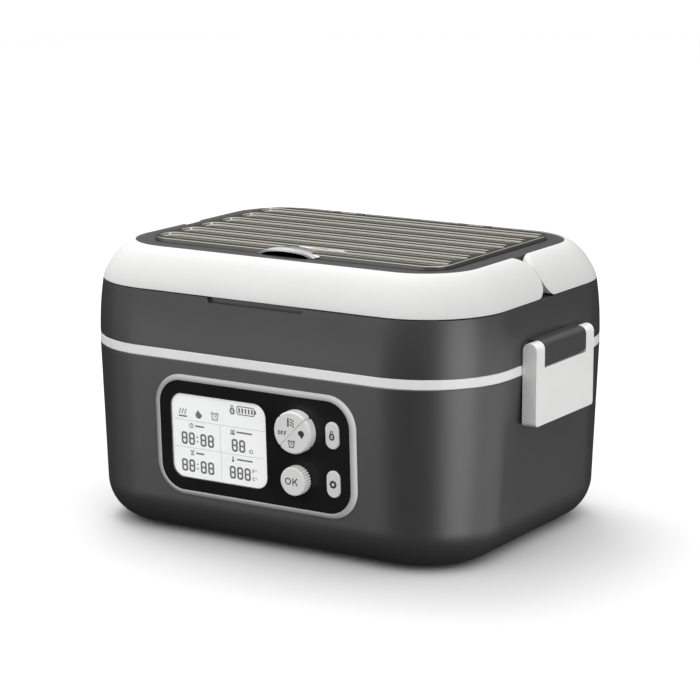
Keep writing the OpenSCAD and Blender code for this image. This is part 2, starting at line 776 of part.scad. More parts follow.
// Shoulder outlines under the handle ring, drawn in by a further amount
ring_gap = 0.4;
wall_in = ring_w + 0.4;
function shoulder_rings(w) = [for (t = [0:12:60])
    let (i = min(ring_in(t) + ring_t + ring_gap, wall_in) + w)
    outline(lid_lean + i, ring_drop(i), ring_up(t) - w * 0.6)];
module lid_shell() {
    t = wall - 0.2;
    color(dark) difference() {
        union() {
            loft(concat(side_rings(0), shoulder_rings(0),
                [outline(lid_lean + wall_in, ring_drop(wall_in), z_seat),
                 outline(lid_lean + wall_in + t, ring_drop(wall_in + t), z_seat)],
                flip(shoulder_rings(t)), flip(side_rings(wall))), tube = true);
            both_sides() pivot_boss();
            corners() rod_z(3, liner_z + 1.5, z_lid + 3, liner_post_a, liner_post_b);
            trim_screw_places() rod_z(3.2, trim_seat, -1.5, 0, 0);
        }
        // Finger recess under the middle of the handle
        translate([0, ring_gap + wall - 1.3 - box_d / 2 + lid_lean, 0]) rotate([90, 0, 0])
            linear_extrude(9) polygon([[-grip_half - 2, z_lid + 0.4], [-grip_half, z_lid - grip_deep],
                [grip_half, z_lid - grip_deep], [grip_half + 2, z_lid + 0.4]]);
        both_sides() {
            rod_x(hub_r + 0.35, pivot_x - 0.1, box_w / 2, pivot_y, pivot_z);
            block([pivot_x - 0.1, pivot_y, pivot_z], [box_w / 2, 0.15, z_seat + 1]);
            rod_x(pivot_r, pivot_x - 12, pivot_x + 1, pivot_y, pivot_z);
            lug_slot();
            lug_screw_places() rod_x(screw_r + 0.2, box_w / 2 - 6, box_w / 2 + 1, 0, 0);
        }
        trim_screw_places() rod_z(screw_r + 0.2, -8, 8, 0, 0);
        corners() rod_z(screw_r, liner_z, liner_z + 12, liner_post_a, liner_post_b);
    }
}
// Thick pad behind each handle pivot
module pivot_boss() {
    pad = 14;
    low = z_lid - 1;
    translate([0, pivot_y + pad, 0]) rotate([90, 0, 0]) linear_extrude(2 * pad)
        polygon(concat(
            [[pivot_x - 7, low], [box_w / 2 - lid_lean - ring_t - 1.4, low]],
            [for (t = [12:12:60])
                [box_w / 2 - lid_lean - min(ring_in(t) + ring_t + ring_gap, wall_in) - 1,
                 ring_up(t) - 1]],
            [[pivot_x - 1.5, z_seat - 1], [pivot_x - 7, z_seat - 1]]));
}

// Underside of the lid: liner, its screws and gasket
liner_z = z_band + 8.8;
liner_post_a = box_w / 2 - 25;
liner_post_b = box_d / 2 - 24.9;
skirt_a = box_w / 2 - 9.5;
skirt_b = box_d / 2 - 9.5;
skirt_r = corner_r - 9.5;
skirt_t = 2.5;
skirt_low = z_band + 3.2;
module lid_liner() {
    color("#d9dadb") difference() {
        union() {
            plate(lip_a, lip_b, lip_r, liner_z, liner_z + 1.5);
            frame(skirt_a, skirt_b, skirt_r, skirt_t, skirt_low, liner_z + 0.5);
        }
        corners() rod_z(screw_r + 0.2, liner_z - 1, liner_z + 3, liner_post_a, liner_post_b);
    }
}
module liner_screws() {
    color("silver") corners() {
        rod_z(head_r, liner_z - head_t, liner_z, liner_post_a, liner_post_b);
        rod_z(screw_r, liner_z, liner_z + 11, liner_post_a, liner_post_b);
    }
}
module lid_gasket() {
    color("#8d9498") frame(skirt_a + 0.5, skirt_b + 0.5, skirt_r + 0.5, skirt_t + 1,
        z_band + gap, skirt_low);
}

// Top panel with the cutlery bay and the pocket for a finger
bay_a = cover_w / 2 - 3;
bay_b = cover_d / 2 - 3;
bay_r = 9;
bay_floor = z_panel - 13;
hood_front = -62.3;
module top_panel() {
    a = pivot_x - 0.3;
    b = box_d / 2 - lid_lean - ring_w - 0.3;
    color("#3d3e40") difference() {
        union() {
            plate(a, b, corner_r - ring_drop(ring_w), z_seat, z_panel);
            plate(bay_a + 2, bay_b + 2, bay_r + 2, bay_floor - 1.5, z_seat + 1, cover_y);
            block([-17, hood_front - 2, z_panel - 9.5], [17, 0, z_seat + 1]);
            for (x = knuckle_sides()) hinge_ear(x);
            both_sides() for (y = [-30, 30])
                block([a - 5.5, y - 5, z_seat - 5], [a - 3.2, y + 5, z_seat + 1]);
        }
        plate(cover_w / 2 + gap, cover_d / 2 + gap, 12, z_panel - cover_t + cover_rise - 0.1,
            z_panel + 9, cover_y);
        plate(bay_a, bay_b, bay_r, bay_floor, z_panel + 9, cover_y);
        block([-15, hood_front, z_panel - 8], [15, 0, z_panel + 9]);
        for (x = [-knuckle_x, knuckle_x]) {
            block([x - knuckle_w / 2 - gap, cover_y + cover_d / 2 - 1, cover_pin_z - knuckle_r - 0.4],
                  [x + knuckle_w / 2 + gap, cover_pin_y + knuckle_r + 0.4, z_panel + 9]);
            rod_x(cover_pin_r, x - 9, x + 9, cover_pin_y, cover_pin_z);
        }
    }
}
function knuckle_sides() = [for (x = [-knuckle_x, knuckle_x], s = [-1, 1])
    x + s * (knuckle_w / 2 + 2.3)];
module hinge_ear(x) {
    rod_x(knuckle_r, x - 2, x + 2, cover_pin_y, cover_pin_z);
    block([x - 2, cover_pin_y - knuckle_r, z_seat], [x + 2, cover_pin_y + knuckle_r, cover_pin_z]);
}
module cover_pins() {
    color("silver") for (x = [-knuckle_x, knuckle_x])
        rod_x(cover_pin_r, x - 9, x + 9, cover_pin_y, cover_pin_z);
}

// Half of the handle ring, open to the rear, reaching to the split at mid-depth
function half_path(i, z) = let (a = box_w / 2 - lid_lean - i, b = box_d / 2 - lid_lean - i,
    r = corner_r - ring_drop(i)) concat([[a, -0.2, z]],
    [for (k = [0:corner_steps]) let (t = 90 * k / corner_steps)
        [a - r + r * cos(t), -(b - r) - r * sin(t), z]],
    [for (k = [corner_steps:-1:0]) let (t = 90 * k / corner_steps)
        [-(a - r + r * cos(t)), -(b - r) - r * sin(t), z]],
    [[-a, -0.2, z]]);
// Section of the ring as inset and height, outer face first
ring_inner_end = 48;
undercut = 0.8;
ring_section = concat(
    [for (t = [0:9:90]) [ring_in(t), ring_up(t) + (t == 0 ? gap : 0)]],
    [for (t = [ring_inner_end:-12:0])
        [min(ring_in(t) + ring_t, ring_w - undercut), ring_up(t) + (t == 0 ? gap : 0)]]);
module half_ring() {
    paths = [for (s = ring_section) half_path(s[0], s[1])];
    n = len(paths[0]);
    m = len(paths);
    sides = [for (j = [0:m - 1]) for (i = [0:n - 2])
        let (k = (j + 1) % m, a = j * n + i, b = a + 1, c = k * n + i + 1, d = k * n + i)
        each [[a, b, c], [a, c, d]]];
    ends = [[for (j = [0:m - 1]) j * n], [for (j = [m - 1:-1:0]) j * n + n - 1]];
    difference() {
        polyhedron([for (p = paths) each p], concat(sides, ends), convexity = 8);
        // Rounds both ends about the pivot
        both_sides() difference() {
            block([pivot_x - 4, pivot_y, z_lid - 3], [box_w / 2 + 4, 2, z_ring + 3]);
            rod_x(hub_r, pivot_x - 6, box_w / 2 + 6, pivot_y, pivot_z);
        }
    }
}
module carry_handle() {
    inner = box_w / 2 - lid_lean;
    color(pale) difference() {
        union() {
            half_ring();
            both_sides() intersection() {
                rod_x(hub_r - 0.3, pivot_x + 0.3, box_w / 2, pivot_y, pivot_z);
                translate([0, 1, 0]) rotate([90, 0, 0]) linear_extrude(2 * hub_r + 4) polygon(concat(
                    [[pivot_x, z_lid], [inner - 1, z_lid]],
                    [for (t = [9:9:72]) [inner - ring_in(t) - 0.8, ring_up(t) - 0.8]],
                    [[pivot_x, z_ring - 1]]));
            }
        }
        both_sides() rod_x(pivot_r + run, pivot_x - 1, pivot_x + 8.4, pivot_y, pivot_z);
    }
}
module rear_trim() {
    color(pale) difference() {
        mirror([0, 1, 0]) half_ring();
        trim_screw_places() rod_z(screw_r, -8, 5, 0, 0);
    }
}
module handle_pins() {
    color("silver") both_sides() {
        rod_x(pivot_r, pivot_x - 7, pivot_x + 8, pivot_y, pivot_z);
        rod_x(pivot_r + 1.5, pivot_x - 9, pivot_x - 7, pivot_y, pivot_z);
    }
}
// Places along the rear trim, pointing out of the lid through its shoulder
trim_z = z_lid + 6.4;
trim_seat = -6;
module trim_screw_places() {
    inset = lid_lean + ring_t + 4;
    for (s = [-1, 1]) {
        translate([s * (box_w / 2 - inset), 34, trim_z]) rotate([0, s * 90, 0]) children();
        translate([s * 40, box_d / 2 - inset, trim_z]) rotate([-90, 0, 0]) children();
    }
}
module trim_screws() {
    color("silver") trim_screw_places() {
        rod_z(screw_r, trim_seat, 5, 0, 0);
        rod_z(head_r, trim_seat - head_t, trim_seat, 0, 0);
    }
}

// Latch lugs on the lid, their screws and pins
lug_half = latch_w / 2 - ear_w - 0.2;
module lug_profile(half, inner) {
    face = latch_x + ear_r;
    foot = z_band - 1.2;
    translate([0, half, 0]) rotate([90, 0, 0]) linear_extrude(2 * half) {
        translate([latch_x, latch_z]) circle(ear_r);
        polygon([[inner, z_band + 0.4], [box_w / 2 + 0.4, z_band + 0.4], [box_w / 2 + 0.4, foot],
            [face - 1.4, foot], [face, foot + 1.4], [face, latch_z], [latch_x, latch_z + ear_r],
            [inner, latch_z + ear_r]]);
    }
}
module lug_slot() {
    block([box_w / 2 - 0.8, -lug_half, z_band - 1], [box_w / 2 + 2, lug_half, latch_z + ear_r]);
}
module latch_lugs() {
    color(dark) both_sides() difference() {
        lug_profile(lug_half, box_w / 2 - 0.8);
        rod_y(latch_pin_r, -lug_half - 1, lug_half + 1, latch_x, latch_z);
        lug_screw_places() rod_x(screw_r, box_w / 2 - 3, box_w / 2 + 3.5, 0, 0);
    }
}
module lug_screw_places() {
    for (y = [-14, 14]) translate([0, y, z_band + 3.2]) children();
}
module lug_screws() {
    color("silver") both_sides() lug_screw_places() {
        rod_x(head_r, box_w / 2 - wall - head_t - 0.15, box_w / 2 - wall - 0.15, 0, 0);
        rod_x(screw_r, box_w / 2 - wall, box_w / 2 + 3.2, 0, 0);
    }
}
module latch_pins() {
    color("silver") both_sides()
        rod_y(latch_pin_r, -latch_w / 2 + 2, latch_w / 2 - 2, latch_x, latch_z);
}

// Latch plate with two ears, a pocket that clears the keeper and a hook below it
module latch() {
    half = latch_w / 2;
    inner = latch_x - ear_r;
    outer = latch_x + ear_r;
    plate_top = latch_z - 9.4;
    corner = 2;
    color(pale) difference() {
        union() {
            block([inner, -half, latch_low + corner], [outer, half, plate_top]);
            block([inner, corner - half, latch_low], [outer, half - corner, plate_top]);
            for (s = [-1, 1]) rod_x(corner, inner, outer, s * (half - corner), latch_low + corner);
            for (s = [-1, 1]) {
                y = s * (half - ear_w / 2);
                block([inner, y - ear_w / 2, plate_top - 1], [outer, y + ear_w / 2, latch_z]);
                rod_y(ear_r, y - ear_w / 2, y + ear_w / 2, latch_x, latch_z);
            }
        }
        block([inner - 1, -20, keeper_low - 0.4], [inner + 4.2, 20, plate_top - 6]);
        rod_y(latch_pin_r + run, -half + 1.8, half - 1.8, latch_x, latch_z);
    }
}
module right_latch() {
    latch();
}
module left_latch() {
    mirror([1, 0, 0]) latch();
}

// Ribbed cover over the cutlery bay
cover_top = z_panel + cover_rise;
channel_pitch = (cover_d - rib_w) / channels;
hood_r = 38.1;
hood_t = 1.3;
hood_y = -60;
hood_z = z_panel + 4.7 - hood_r;
module ribbed_cover() {
    color("#7f7e7a") difference() {
        union() {
            plate(cover_w / 2, cover_d / 2, 12, cover_top - cover_t, cover_top, cover_y);
            for (x = [-knuckle_x, knuckle_x]) {
                rod_x(knuckle_r, x - knuckle_w / 2, x + knuckle_w / 2, cover_pin_y, cover_pin_z);
                block([x - knuckle_w / 2, cover_pin_y - 4, cover_pin_z - 0.9],
                      [x + knuckle_w / 2, cover_pin_y, cover_pin_z + 0.9]);
            }
        }
        for (i = [0:channels - 1])
            plate(cover_w / 2 - 2.5, (channel_pitch - rib_w) / 2, 5, cover_top - channel_deep,
                cover_top + 1, cover_y - cover_d / 2 + rib_w + channel_pitch * i
                + (channel_pitch - rib_w) / 2);
        translate([0, hood_y, hood_z]) sphere(hood_r, $fn = 96);
        for (x = [-knuckle_x, knuckle_x])
            rod_x(cover_pin_r + run, x - 9, x + 9, cover_pin_y, cover_pin_z);
    }
}
// Bright domed hood that a finger lifts the cover by
module finger_hood() {
    low = cover_top - cover_t;
    front_low = z_panel + gap;
    color("#c6c6c6") difference() {
        translate([0, hood_y, hood_z]) sphere(hood_r, $fn = 96);
        translate([0, hood_y, hood_z]) sphere(hood_r - hood_t, $fn = 96);
        block([-50, -120, -20], [50, 40, low]);
        block([-50, -120, -20], [50, cover_y - cover_d / 2 - 0.1, front_low]);
        block([-50, -120, -20], [50, hood_front, 220]);
    }
}

base_shell();
bottom_cover();
rubber_feet();
bottom_screws();
collar_band();
collar_screws();
heating_well();
well_screws();
heater_film();
heat_shield();
temperature_sensor();
thermal_fuse();
battery_holder();
battery_cells();
cell_tabs();
battery_board();
charge_inlet();
wire_harness();
latch_keepers();
panel_bezel();
panel_fascia();
display_lens();
display_module();
display_backlight();
control_board();
board_screws();
rotary_switch();
selector_shaft();
selector_knob();
encoder_body();
encoder_plunger();
encoder_shaft();
ok_knob();
lock_button();
settings_button();
tact_switches();
inner_pot();
pot_lid();
pot_seal();
vent_plug();
lid_shell();
lid_liner();
liner_screws();
lid_gasket();
top_panel();
rear_trim();
trim_screws();
carry_handle();
handle_pins();
latch_lugs();
lug_screws();
latch_pins();
right_latch();
left_latch();
ribbed_cover();
finger_hood();
cover_pins();
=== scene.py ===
import math

import bmesh
import bpy
from mathutils import Matrix, Vector


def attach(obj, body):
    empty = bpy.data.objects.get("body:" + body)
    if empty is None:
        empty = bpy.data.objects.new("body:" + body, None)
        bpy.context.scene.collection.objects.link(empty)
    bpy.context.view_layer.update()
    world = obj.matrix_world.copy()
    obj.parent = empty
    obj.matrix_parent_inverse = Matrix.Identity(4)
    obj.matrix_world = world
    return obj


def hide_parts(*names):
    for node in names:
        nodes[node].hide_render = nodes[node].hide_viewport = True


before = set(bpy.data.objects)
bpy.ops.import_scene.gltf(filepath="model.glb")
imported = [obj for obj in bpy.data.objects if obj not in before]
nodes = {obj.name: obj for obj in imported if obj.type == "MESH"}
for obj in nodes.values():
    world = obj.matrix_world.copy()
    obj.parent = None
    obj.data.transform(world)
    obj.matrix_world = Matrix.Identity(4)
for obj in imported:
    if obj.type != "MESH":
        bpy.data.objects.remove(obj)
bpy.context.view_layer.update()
MM = 0.001


# Materials

GRAIN_DEPTH = 0.00012
DUST_FROM, DUST_FULL = 0.62, 0.72


def colour(value, tint=(1.0, 1.0, 1.0)):
    """Linear colour of an 8-bit sRGB grey, times a tint."""
    c = value / 255
    linear = c / 12.92 if c <= 0.04045 else ((c + 0.055) / 1.055) ** 2.4
    return tuple(linear * t for t in tint) + (1.0,)


def material(name, base, rough=0.45, mottle=0.04, mottle_scale=35.0, grain=900.0, bump=0.15,
             rough_spread=0.06, stretch=(1.0, 1.0, 1.0), metallic=0.0, coat=0.0, level=0.5,
             dust=0.0, alpha=1.0, glow=0.0):
    """A moulded or metal surface: slow colour mottling, fine grain in roughness and height."""
    m = bpy.data.materials.new(name)
    m.use_nodes = True
    tree = m.node_tree
    tree.nodes.clear()
    add, link = tree.nodes.new, tree.links.new
    out = add("ShaderNodeOutputMaterial")
    shader = add("ShaderNodeBsdfPrincipled")
    link(shader.outputs[0], out.inputs[0])
    shader.inputs["Metallic"].default_value = metallic
    shader.inputs["Coat Weight"].default_value = coat
    shader.inputs["Coat Roughness"].default_value = 0.1
    shader.inputs["Specular IOR Level"].default_value = level
    shader.inputs["Alpha"].default_value = alpha
    shader.inputs["Emission Color"].default_value = base
    shader.inputs["Emission Strength"].default_value = glow
    place = add("ShaderNodeTexCoord")
    spread = add("ShaderNodeMapping")
    spread.inputs["Scale"].default_value = stretch
    link(place.outputs["Object"], spread.inputs["Vector"])

    def noise(scale, detail, rough_detail=0.5):
        """The factor of a noise texture over the stretched object coordinates."""
        n = add("ShaderNodeTexNoise")
        n.inputs["Scale"].default_value = scale
        n.inputs["Detail"].default_value = detail
        n.inputs["Roughness"].default_value = rough_detail
        link(spread.outputs[0], n.inputs["Vector"])
        return n.outputs["Fac"]

    slow = noise(mottle_scale, 3)
    fine = noise(grain, 2, 0.6)
    ramp = add("ShaderNodeValToRGB")
    low, high = ramp.color_ramp.elements
    low.position, high.position = 0.3, 0.7
    low.color = tuple(c * (1 - mottle) for c in base[:3]) + (1.0,)
    high.color = tuple(min(1.0, c * (1 + mottle)) for c in base[:3]) + (1.0,)
    link(slow, ramp.inputs[0])
    surface = ramp.outputs[0]
    if dust:
        specks = add("ShaderNodeValToRGB")
        specks.color_ramp.elements[0].position = DUST_FROM
        specks.color_ramp.elements[1].position = DUST_FULL
        link(noise(grain * 2.2, 1), specks.inputs[0])
        blend = add("ShaderNodeMix")
        blend.data_type = "RGBA"
        blend.blend_type = "SCREEN"
        amount = add("ShaderNodeMath")
        amount.operation = "MULTIPLY"
        amount.inputs[1].default_value = dust
        link(specks.outputs[0], amount.inputs[0])
        link(amount.outputs[0], blend.inputs["Factor"])
        link(surface, blend.inputs["A"])
        blend.inputs["B"].default_value = (0.5, 0.5, 0.5, 1.0)
        surface = blend.outputs["Result"]
    link(surface, shader.inputs["Base Color"])
    shine = add("ShaderNodeMapRange")
    shine.inputs["To Min"].default_value = max(0.02, rough - rough_spread)
    shine.inputs["To Max"].default_value = min(1.0, rough + rough_spread)
    link(fine, shine.inputs["Value"])
    link(shine.outputs[0], shader.inputs["Roughness"])
    if bump:
        relief = add("ShaderNodeBump")
        relief.inputs["Strength"].default_value = bump
        relief.inputs["Distance"].default_value = GRAIN_DEPTH
        link(fine, relief.inputs["Height"])
        link(relief.outputs[0], shader.inputs["Normal"])
    return m


# After the colour come roughness, mottling, its scale, the grain's scale and the bump
WARM = (1.0, 0.997, 0.99)
COOL = (1.0, 0.985, 1.03)
M = {
    "shell": material("dark_moulding", colour(56, COOL), 0.4, 0.05, 30, 1500, 0.2, dust=0.01, level=0.82),
    "lug": material("dark_lug", colour(62, COOL), 0.45, 0.05, 40, 1500, 0.28),
    "top_panel": material("panel_moulding", colour(50, COOL), 0.5, 0.05, 30, 1500, 0.22, level=0.3),
    "ring": material("pale_ring", colour(216, WARM), 0.55, 0.015, 25, 1100, 0.10, level=0.3),
    "band": material("pale_band", colour(241, WARM), 0.38, 0.02, 25, 1100, 0.12),
    "panel_frame": material("pale_frame", colour(234, WARM), 0.38, 0.02, 40, 1100, 0.12),
    "latch": material("pale_latch", colour(244, WARM), 0.38, 0.02, 40, 1100, 0.12),
    "fascia": material("black_fascia", colour(40), 0.42, 0.08, 60, 1700, 0.12, level=0.25),
    "display": material("display_sheet", colour(217, (0.99, 1.0, 1.0)), 0.62, 0.012, 60, 700, 0.0,
                        glow=0.6),
    "knob": material("pale_knob", colour(232, WARM), 0.36, 0.02, 60, 1300, 0.12),
    "button": material("pale_button", colour(226, WARM), 0.38, 0.02, 60, 1300, 0.12),
    "ribs": material("warm_ribs", colour(190, (1.0, 0.98, 0.89)), 0.1, 0.05, 60, 2600, 0.0,
                     rough_spread=0.03, stretch=(0.04, 1.0, 1.0), metallic=1.0),
    "ribs_back": material("warm_back", colour(112, (1.0, 0.985, 0.94)), 0.42, 0.04, 60, 1300, 0.12),
    "hood": material("bright_hood", colour(212), 0.22, 0.02, 60, 1200, 0.06, metallic=0.8),
    "print": material("dark_print", colour(46), 0.6, 0.06, 200, 3000, 0.0),
    "segments": material("display_ink", colour(34, COOL), 0.7, 0.05, 200, 3000, 0.0),
    "rules": material("display_rule", colour(186), 0.7, 0.03, 200, 3000, 0.0),
    "pot_steel": material("brushed_steel", colour(188), 0.3, 0.03, 20, 900, 0.02,
                          rough_spread=0.04, stretch=(0.3, 0.3, 8.0), metallic=1.0),
    "well_sheet": material("cast_alloy", colour(150), 0.45, 0.05, 40, 900, 0.3, metallic=0.9),
    "silicone": material("soft_silicone", colour(196, (1.0, 0.99, 0.97)), 0.6, 0.02, 50, 1100, 0.2),
    "gasket": material("dark_gasket", colour(92), 0.68, 0.04, 50, 1100, 0.25),
    "liner": material("pale_liner", colour(200, WARM), 0.45, 0.02, 30, 1200, 0.15),
    "foot_rubber": material("foot_rubber", colour(44), 0.8, 0.08, 90, 1500, 0.5),
    "screw_steel": material("plated_steel", colour(170), 0.32, 0.05, 200, 1800, 0.1, metallic=1.0),
    "keeper": material("cast_keeper", colour(140), 0.4, 0.05, 120, 1500, 0.2, metallic=0.8),
    "inlet": material("inlet_moulding", colour(36), 0.5, 0.08, 90, 1500, 0.25),
    "circuit": material("board_green", (0.015, 0.09, 0.045, 1), 0.42, 0.12, 260, 2200, 0.2, coat=0.3),
    "wire": material("wire_jacket", colour(150, (1.0, 0.25, 0.2)), 0.5, 0.06, 90, 1800, 0.1),
    "cell_can": material("cell_wrap", colour(120, (0.55, 0.8, 1.0)), 0.35, 0.05, 60, 1200, 0.05),
    "holder": material("holder_moulding", colour(60), 0.6, 0.06, 60, 1200, 0.2),
    "heater": material("heater_film", (0.42, 0.2, 0.05, 1), 0.4, 0.1, 150, 1500, 0.1),
    "ceramic": material("ceramic_body", colour(214, (1, 1, 0.97)), 0.6, 0.03, 120, 1500, 0.2),
    "contact_brass": material("brass", (0.62, 0.42, 0.16, 1), 0.3, 0.05, 120, 1500, 0.1, metallic=1.0),
    "switch_body": material("switch_moulding", colour(52), 0.5, 0.06, 120, 1500, 0.2),
    "backlight": material("light_guide", colour(228, (1, 1, 0.98)), 0.35, 0.02, 120, 1500, 0.05),
    "lens": material("clear_lens", colour(240), 0.06, 0.01, 60, 900, 0.0, rough_spread=0.02, alpha=0.12),
}
for o in nodes.values():
    for i, old in enumerate(list(o.data.materials)):
        o.data.materials[i] = M.get(old.name.split(".")[0], M["shell"])


# Mesh helpers

def new_piece(name, points, faces, mat, body):
    """A mesh from points in millimetres, riding on a CAD body if one is named."""
    mesh = bpy.data.meshes.new(name)
    mesh.from_pydata([tuple(c * MM for c in p) for p in points], [], faces)
    mesh.validate()
    mesh.materials.append(M[mat])
    o = bpy.data.objects.new(name, mesh)
    bpy.context.scene.collection.objects.link(o)
    outward(mesh)
    if body:
        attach(o, body)
    return o


def outward(mesh):
    """Turns all faces of a closed mesh to look outward."""
    bm = bmesh.new()
    bm.from_mesh(mesh)
    bmesh.ops.recalc_face_normals(bm, faces=bm.faces)
    if bm.calc_volume(signed=True) < 0:
        bmesh.ops.reverse_faces(bm, faces=bm.faces)
    bm.to_mesh(mesh)
    bm.free()


def ring(a, b, r, z, y=0.0, arc=22, side=8):
    """Points of a rounded rectangle of half sizes a and b at height z, centred at y."""
    r = max(r, 0.02)
    corners = []
    for cx, cy, start in ((a - r, r - b, -90), (a - r, b - r, 0), (r - a, b - r, 90), (r - a, r - b, 180)):
        corners.append([(cx + r * math.cos(t), y + cy + r * math.sin(t), z)
                        for t in (math.radians(start + 90 * k / arc) for k in range(arc + 1))])
    points = []
    for corner, after in zip(corners, corners[1:] + corners[:1]):
        p, q = corner[-1], after[0]
        points += corner
        points += [tuple(p[c] + (q[c] - p[c]) * k / (side + 1) for c in range(3))
                   for k in range(1, side + 1)]
    return points


def tube(rings, closed=True):
    """Points and faces of a loft through rings of equal length; closed joins last to first."""
    n = len(rings[0])
    points = [p for r in rings for p in r]
    faces = []
    spans = len(rings) if closed else len(rings) - 1
    for i in range(spans):
        a, b = i * n, (i + 1) % len(rings) * n
        faces += [(a + k, a + (k + 1) % n, b + (k + 1) % n, b + k) for k in range(n)]
    if not closed:
        faces += [tuple(range(n))[::-1], tuple(range((len(rings) - 1) * n, len(rings) * n))]
    return points, faces


def solid(rings):
    """A cutting block lofted through rings, with both ends closed."""
    return new_piece("tool", *tube(rings, closed=False), "shell", None)


def baked(o):
    """Applies all of an object's modifiers."""
    bpy.context.view_layer.update()
    mesh = bpy.data.meshes.new_from_object(o.evaluated_get(bpy.context.evaluated_depsgraph_get()))
    o.modifiers.clear()
    old, o.data = o.data, mesh
    bpy.data.meshes.remove(old)
    return o


def shape(o, tools, operation="DIFFERENCE"):
    """Cuts the tools from the object, or joins them to it, and removes them."""
    for t in tools:
        m = o.modifiers.new("shape", "BOOLEAN")
        m.operation, m.object, m.solver = operation, t, "EXACT"
    baked(o)
    for t in tools:
        bpy.data.objects.remove(t)
    return o


def soften(o, width=0.0, angle=35.0, segments=2, sharp=50.0):
    """Smooth faces with a small bevel along the edges that turn by more than angle."""
    o.data.polygons.foreach_set("use_smooth", [True] * len(o.data.polygons))
    o.data.set_sharp_from_angle(angle=math.radians(sharp))
    if width:
        m = o.modifiers.new("edge", "BEVEL")
        m.width, m.segments, m.limit_method = width * MM, segments, "ANGLE"
        m.angle_limit, m.use_clamp_overlap = math.radians(angle), True
        m.miter_outer = "MITER_ARC"
    m = o.modifiers.new("shading", "WEIGHTED_NORMAL")
    m.keep_sharp, m.weight = not width, 60
    return o


def box(lo, hi):
    """A cutting block between two corners, in millimetres."""
    (x0, y0, z0), (x1, y1, z1) = lo, hi
    points = [(x, y, z) for z in (z0, z1) for y in (y0, y1) for x in (x0, x1)]
    faces = [(0, 2, 3, 1), (4, 5, 7, 6), (0, 1, 5, 4), (2, 6, 7, 3), (0, 4, 6, 2), (1, 3, 7, 5)]
    return new_piece("tool", points, faces, "shell", None)


def both_sides(lo, hi):
    """The block between two corners on the right, and its mirror image on the left."""
    (x0, y0, z0), (x1, y1, z1) = lo, hi
    return [box(lo, hi), box((-x1, y0, z0), (-x0, y1, z1))]


def rod(centre, r, length, steps):
    """A cutting cylinder along x; centre is the middle of its first end."""
    x, y, z = centre
    turns = [2 * math.pi * k / steps for k in range(steps)]
    return solid([[(x + end, y + r * math.cos(a), z + r * math.sin(a)) for a in turns]
                  for end in (0, length)])


def prism(profile, y0, y1):
    """A cutting prism of an outline in x and z, between two depths."""
    return solid([[(x, y, z) for x, z in profile] for y in (y0, y1)])


# The box's outlines: half sizes and corner radius at the joint line, and how they shrink

HALF_W, HALF_D, CORNER_R = 120, 92.2, 49.2
BASE_TOP, BASE_DRAFT, BASE_ROUNDING = 95, 4.4, 6.4
FOOT_LOW, FOOT_TOP, FOOT_RISE, FOOT_IN = 1, 22.6, 21.6, 19.7
SHELL_WALL = 2.8


def outline(inset, drop, z):
    """The joint line's outline at height z, moved in, and with its corner radius lessened."""
    return ring(HALF_W - inset, HALF_D - inset, CORNER_R - drop, z)


def base_inset(z):
    """How far the lower shell's wall leans in at a height."""
    return BASE_DRAFT * (BASE_TOP - z) / BASE_TOP


def base_drop(z):
    """How much less than the joint line's the corner radius is at a height."""
    return BASE_ROUNDING * (BASE_TOP - z) / BASE_TOP


def foot(wall, steps):
    """Rings of the rounded foot from the bottom up, at a depth into the wall."""
    rings = []
    for k in range(steps + 1):
        t = math.radians(90 - 90 * k / steps)
        i = base_inset(FOOT_TOP) + wall + (FOOT_IN - wall) * (1 - math.cos(t))
        z = FOOT_LOW + wall + (FOOT_RISE - wall) * (1 - math.sin(t))
        rings.append(outline(i, base_drop(FOOT_TOP) + i - base_inset(FOOT_TOP), z))
    return rings


def wall_rings(wall, heights):
    """Rings of the lower shell's wall at some heights, at a depth into the wall."""
    return [outline(base_inset(z) + wall, base_drop(z) + wall, z) for z in heights]


# Front face of the control panel: u across, v up the face, w out of it
TILT = math.radians(2.652)
FACE_Y, FACE_Z = 90.394, 56.0


def on_face(u, v, w):
    """The point at a place on the control panel's face."""
    return (u, -FACE_Y - v * math.sin(TILT) - w * math.cos(TILT),
            FACE_Z + v * math.cos(TILT) - w * math.sin(TILT))


def face_ring(a, b, r, w, u=0.0, v=0.0, arc=16, side=6):
    """A rounded rectangle on the control panel's face."""
    return [on_face(u + x, v + y, w) for x, y, _ in ring(a, b, r, 0, 0, arc, side)]


# Lower shell: up the outside, over the lip, down the inside, and the bottom's opening and rebate
LIP_LOW, REBATE_TOP, BOTTOM_TOP = 94.4, 2.6, 3.8
OPENING, REBATE = (86, 58, 9), (90.2, 62.2, 12)
PANEL_HOLE = (59, 30.4, 14.9)
heights = [FOOT_TOP + (LIP_LOW - FOOT_TOP) * k / 12 for k in range(1, 13)]
lip = [outline(base_inset(z) + d, base_drop(z) + d, z)
       for z, d in ((94.75, 0.08), (94.93, 0.22), (BASE_TOP, 0.45))]
rings = foot(0, 20) + wall_rings(0, heights) + lip
rings += wall_rings(SHELL_WALL, [BASE_TOP] + heights[::-4]) + foot(SHELL_WALL, 12)[::-1]
rings += [ring(*OPENING, BOTTOM_TOP), ring(*OPENING, REBATE_TOP)]
rings += [ring(*REBATE, REBATE_TOP), ring(*REBATE, FOOT_LOW)]
shell = new_piece("lower_shell", *tube(rings), "shell", "base")
panel_hole = solid([face_ring(*PANEL_HOLE, w) for w in (-8, 4)])
keeper_seats = both_sides((117.2, -18.3, 76.3), (122, 18.3, 83.9))
inlet_hole = solid([[(x - 55, y, z + 38) for x, z, _ in ring(7.6, 6.1, 3, 0)] for y in (80, 96)])
shape(shell, [panel_hole, *keeper_seats, inlet_hole])
soften(shell, sharp=32)
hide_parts("base_shell")

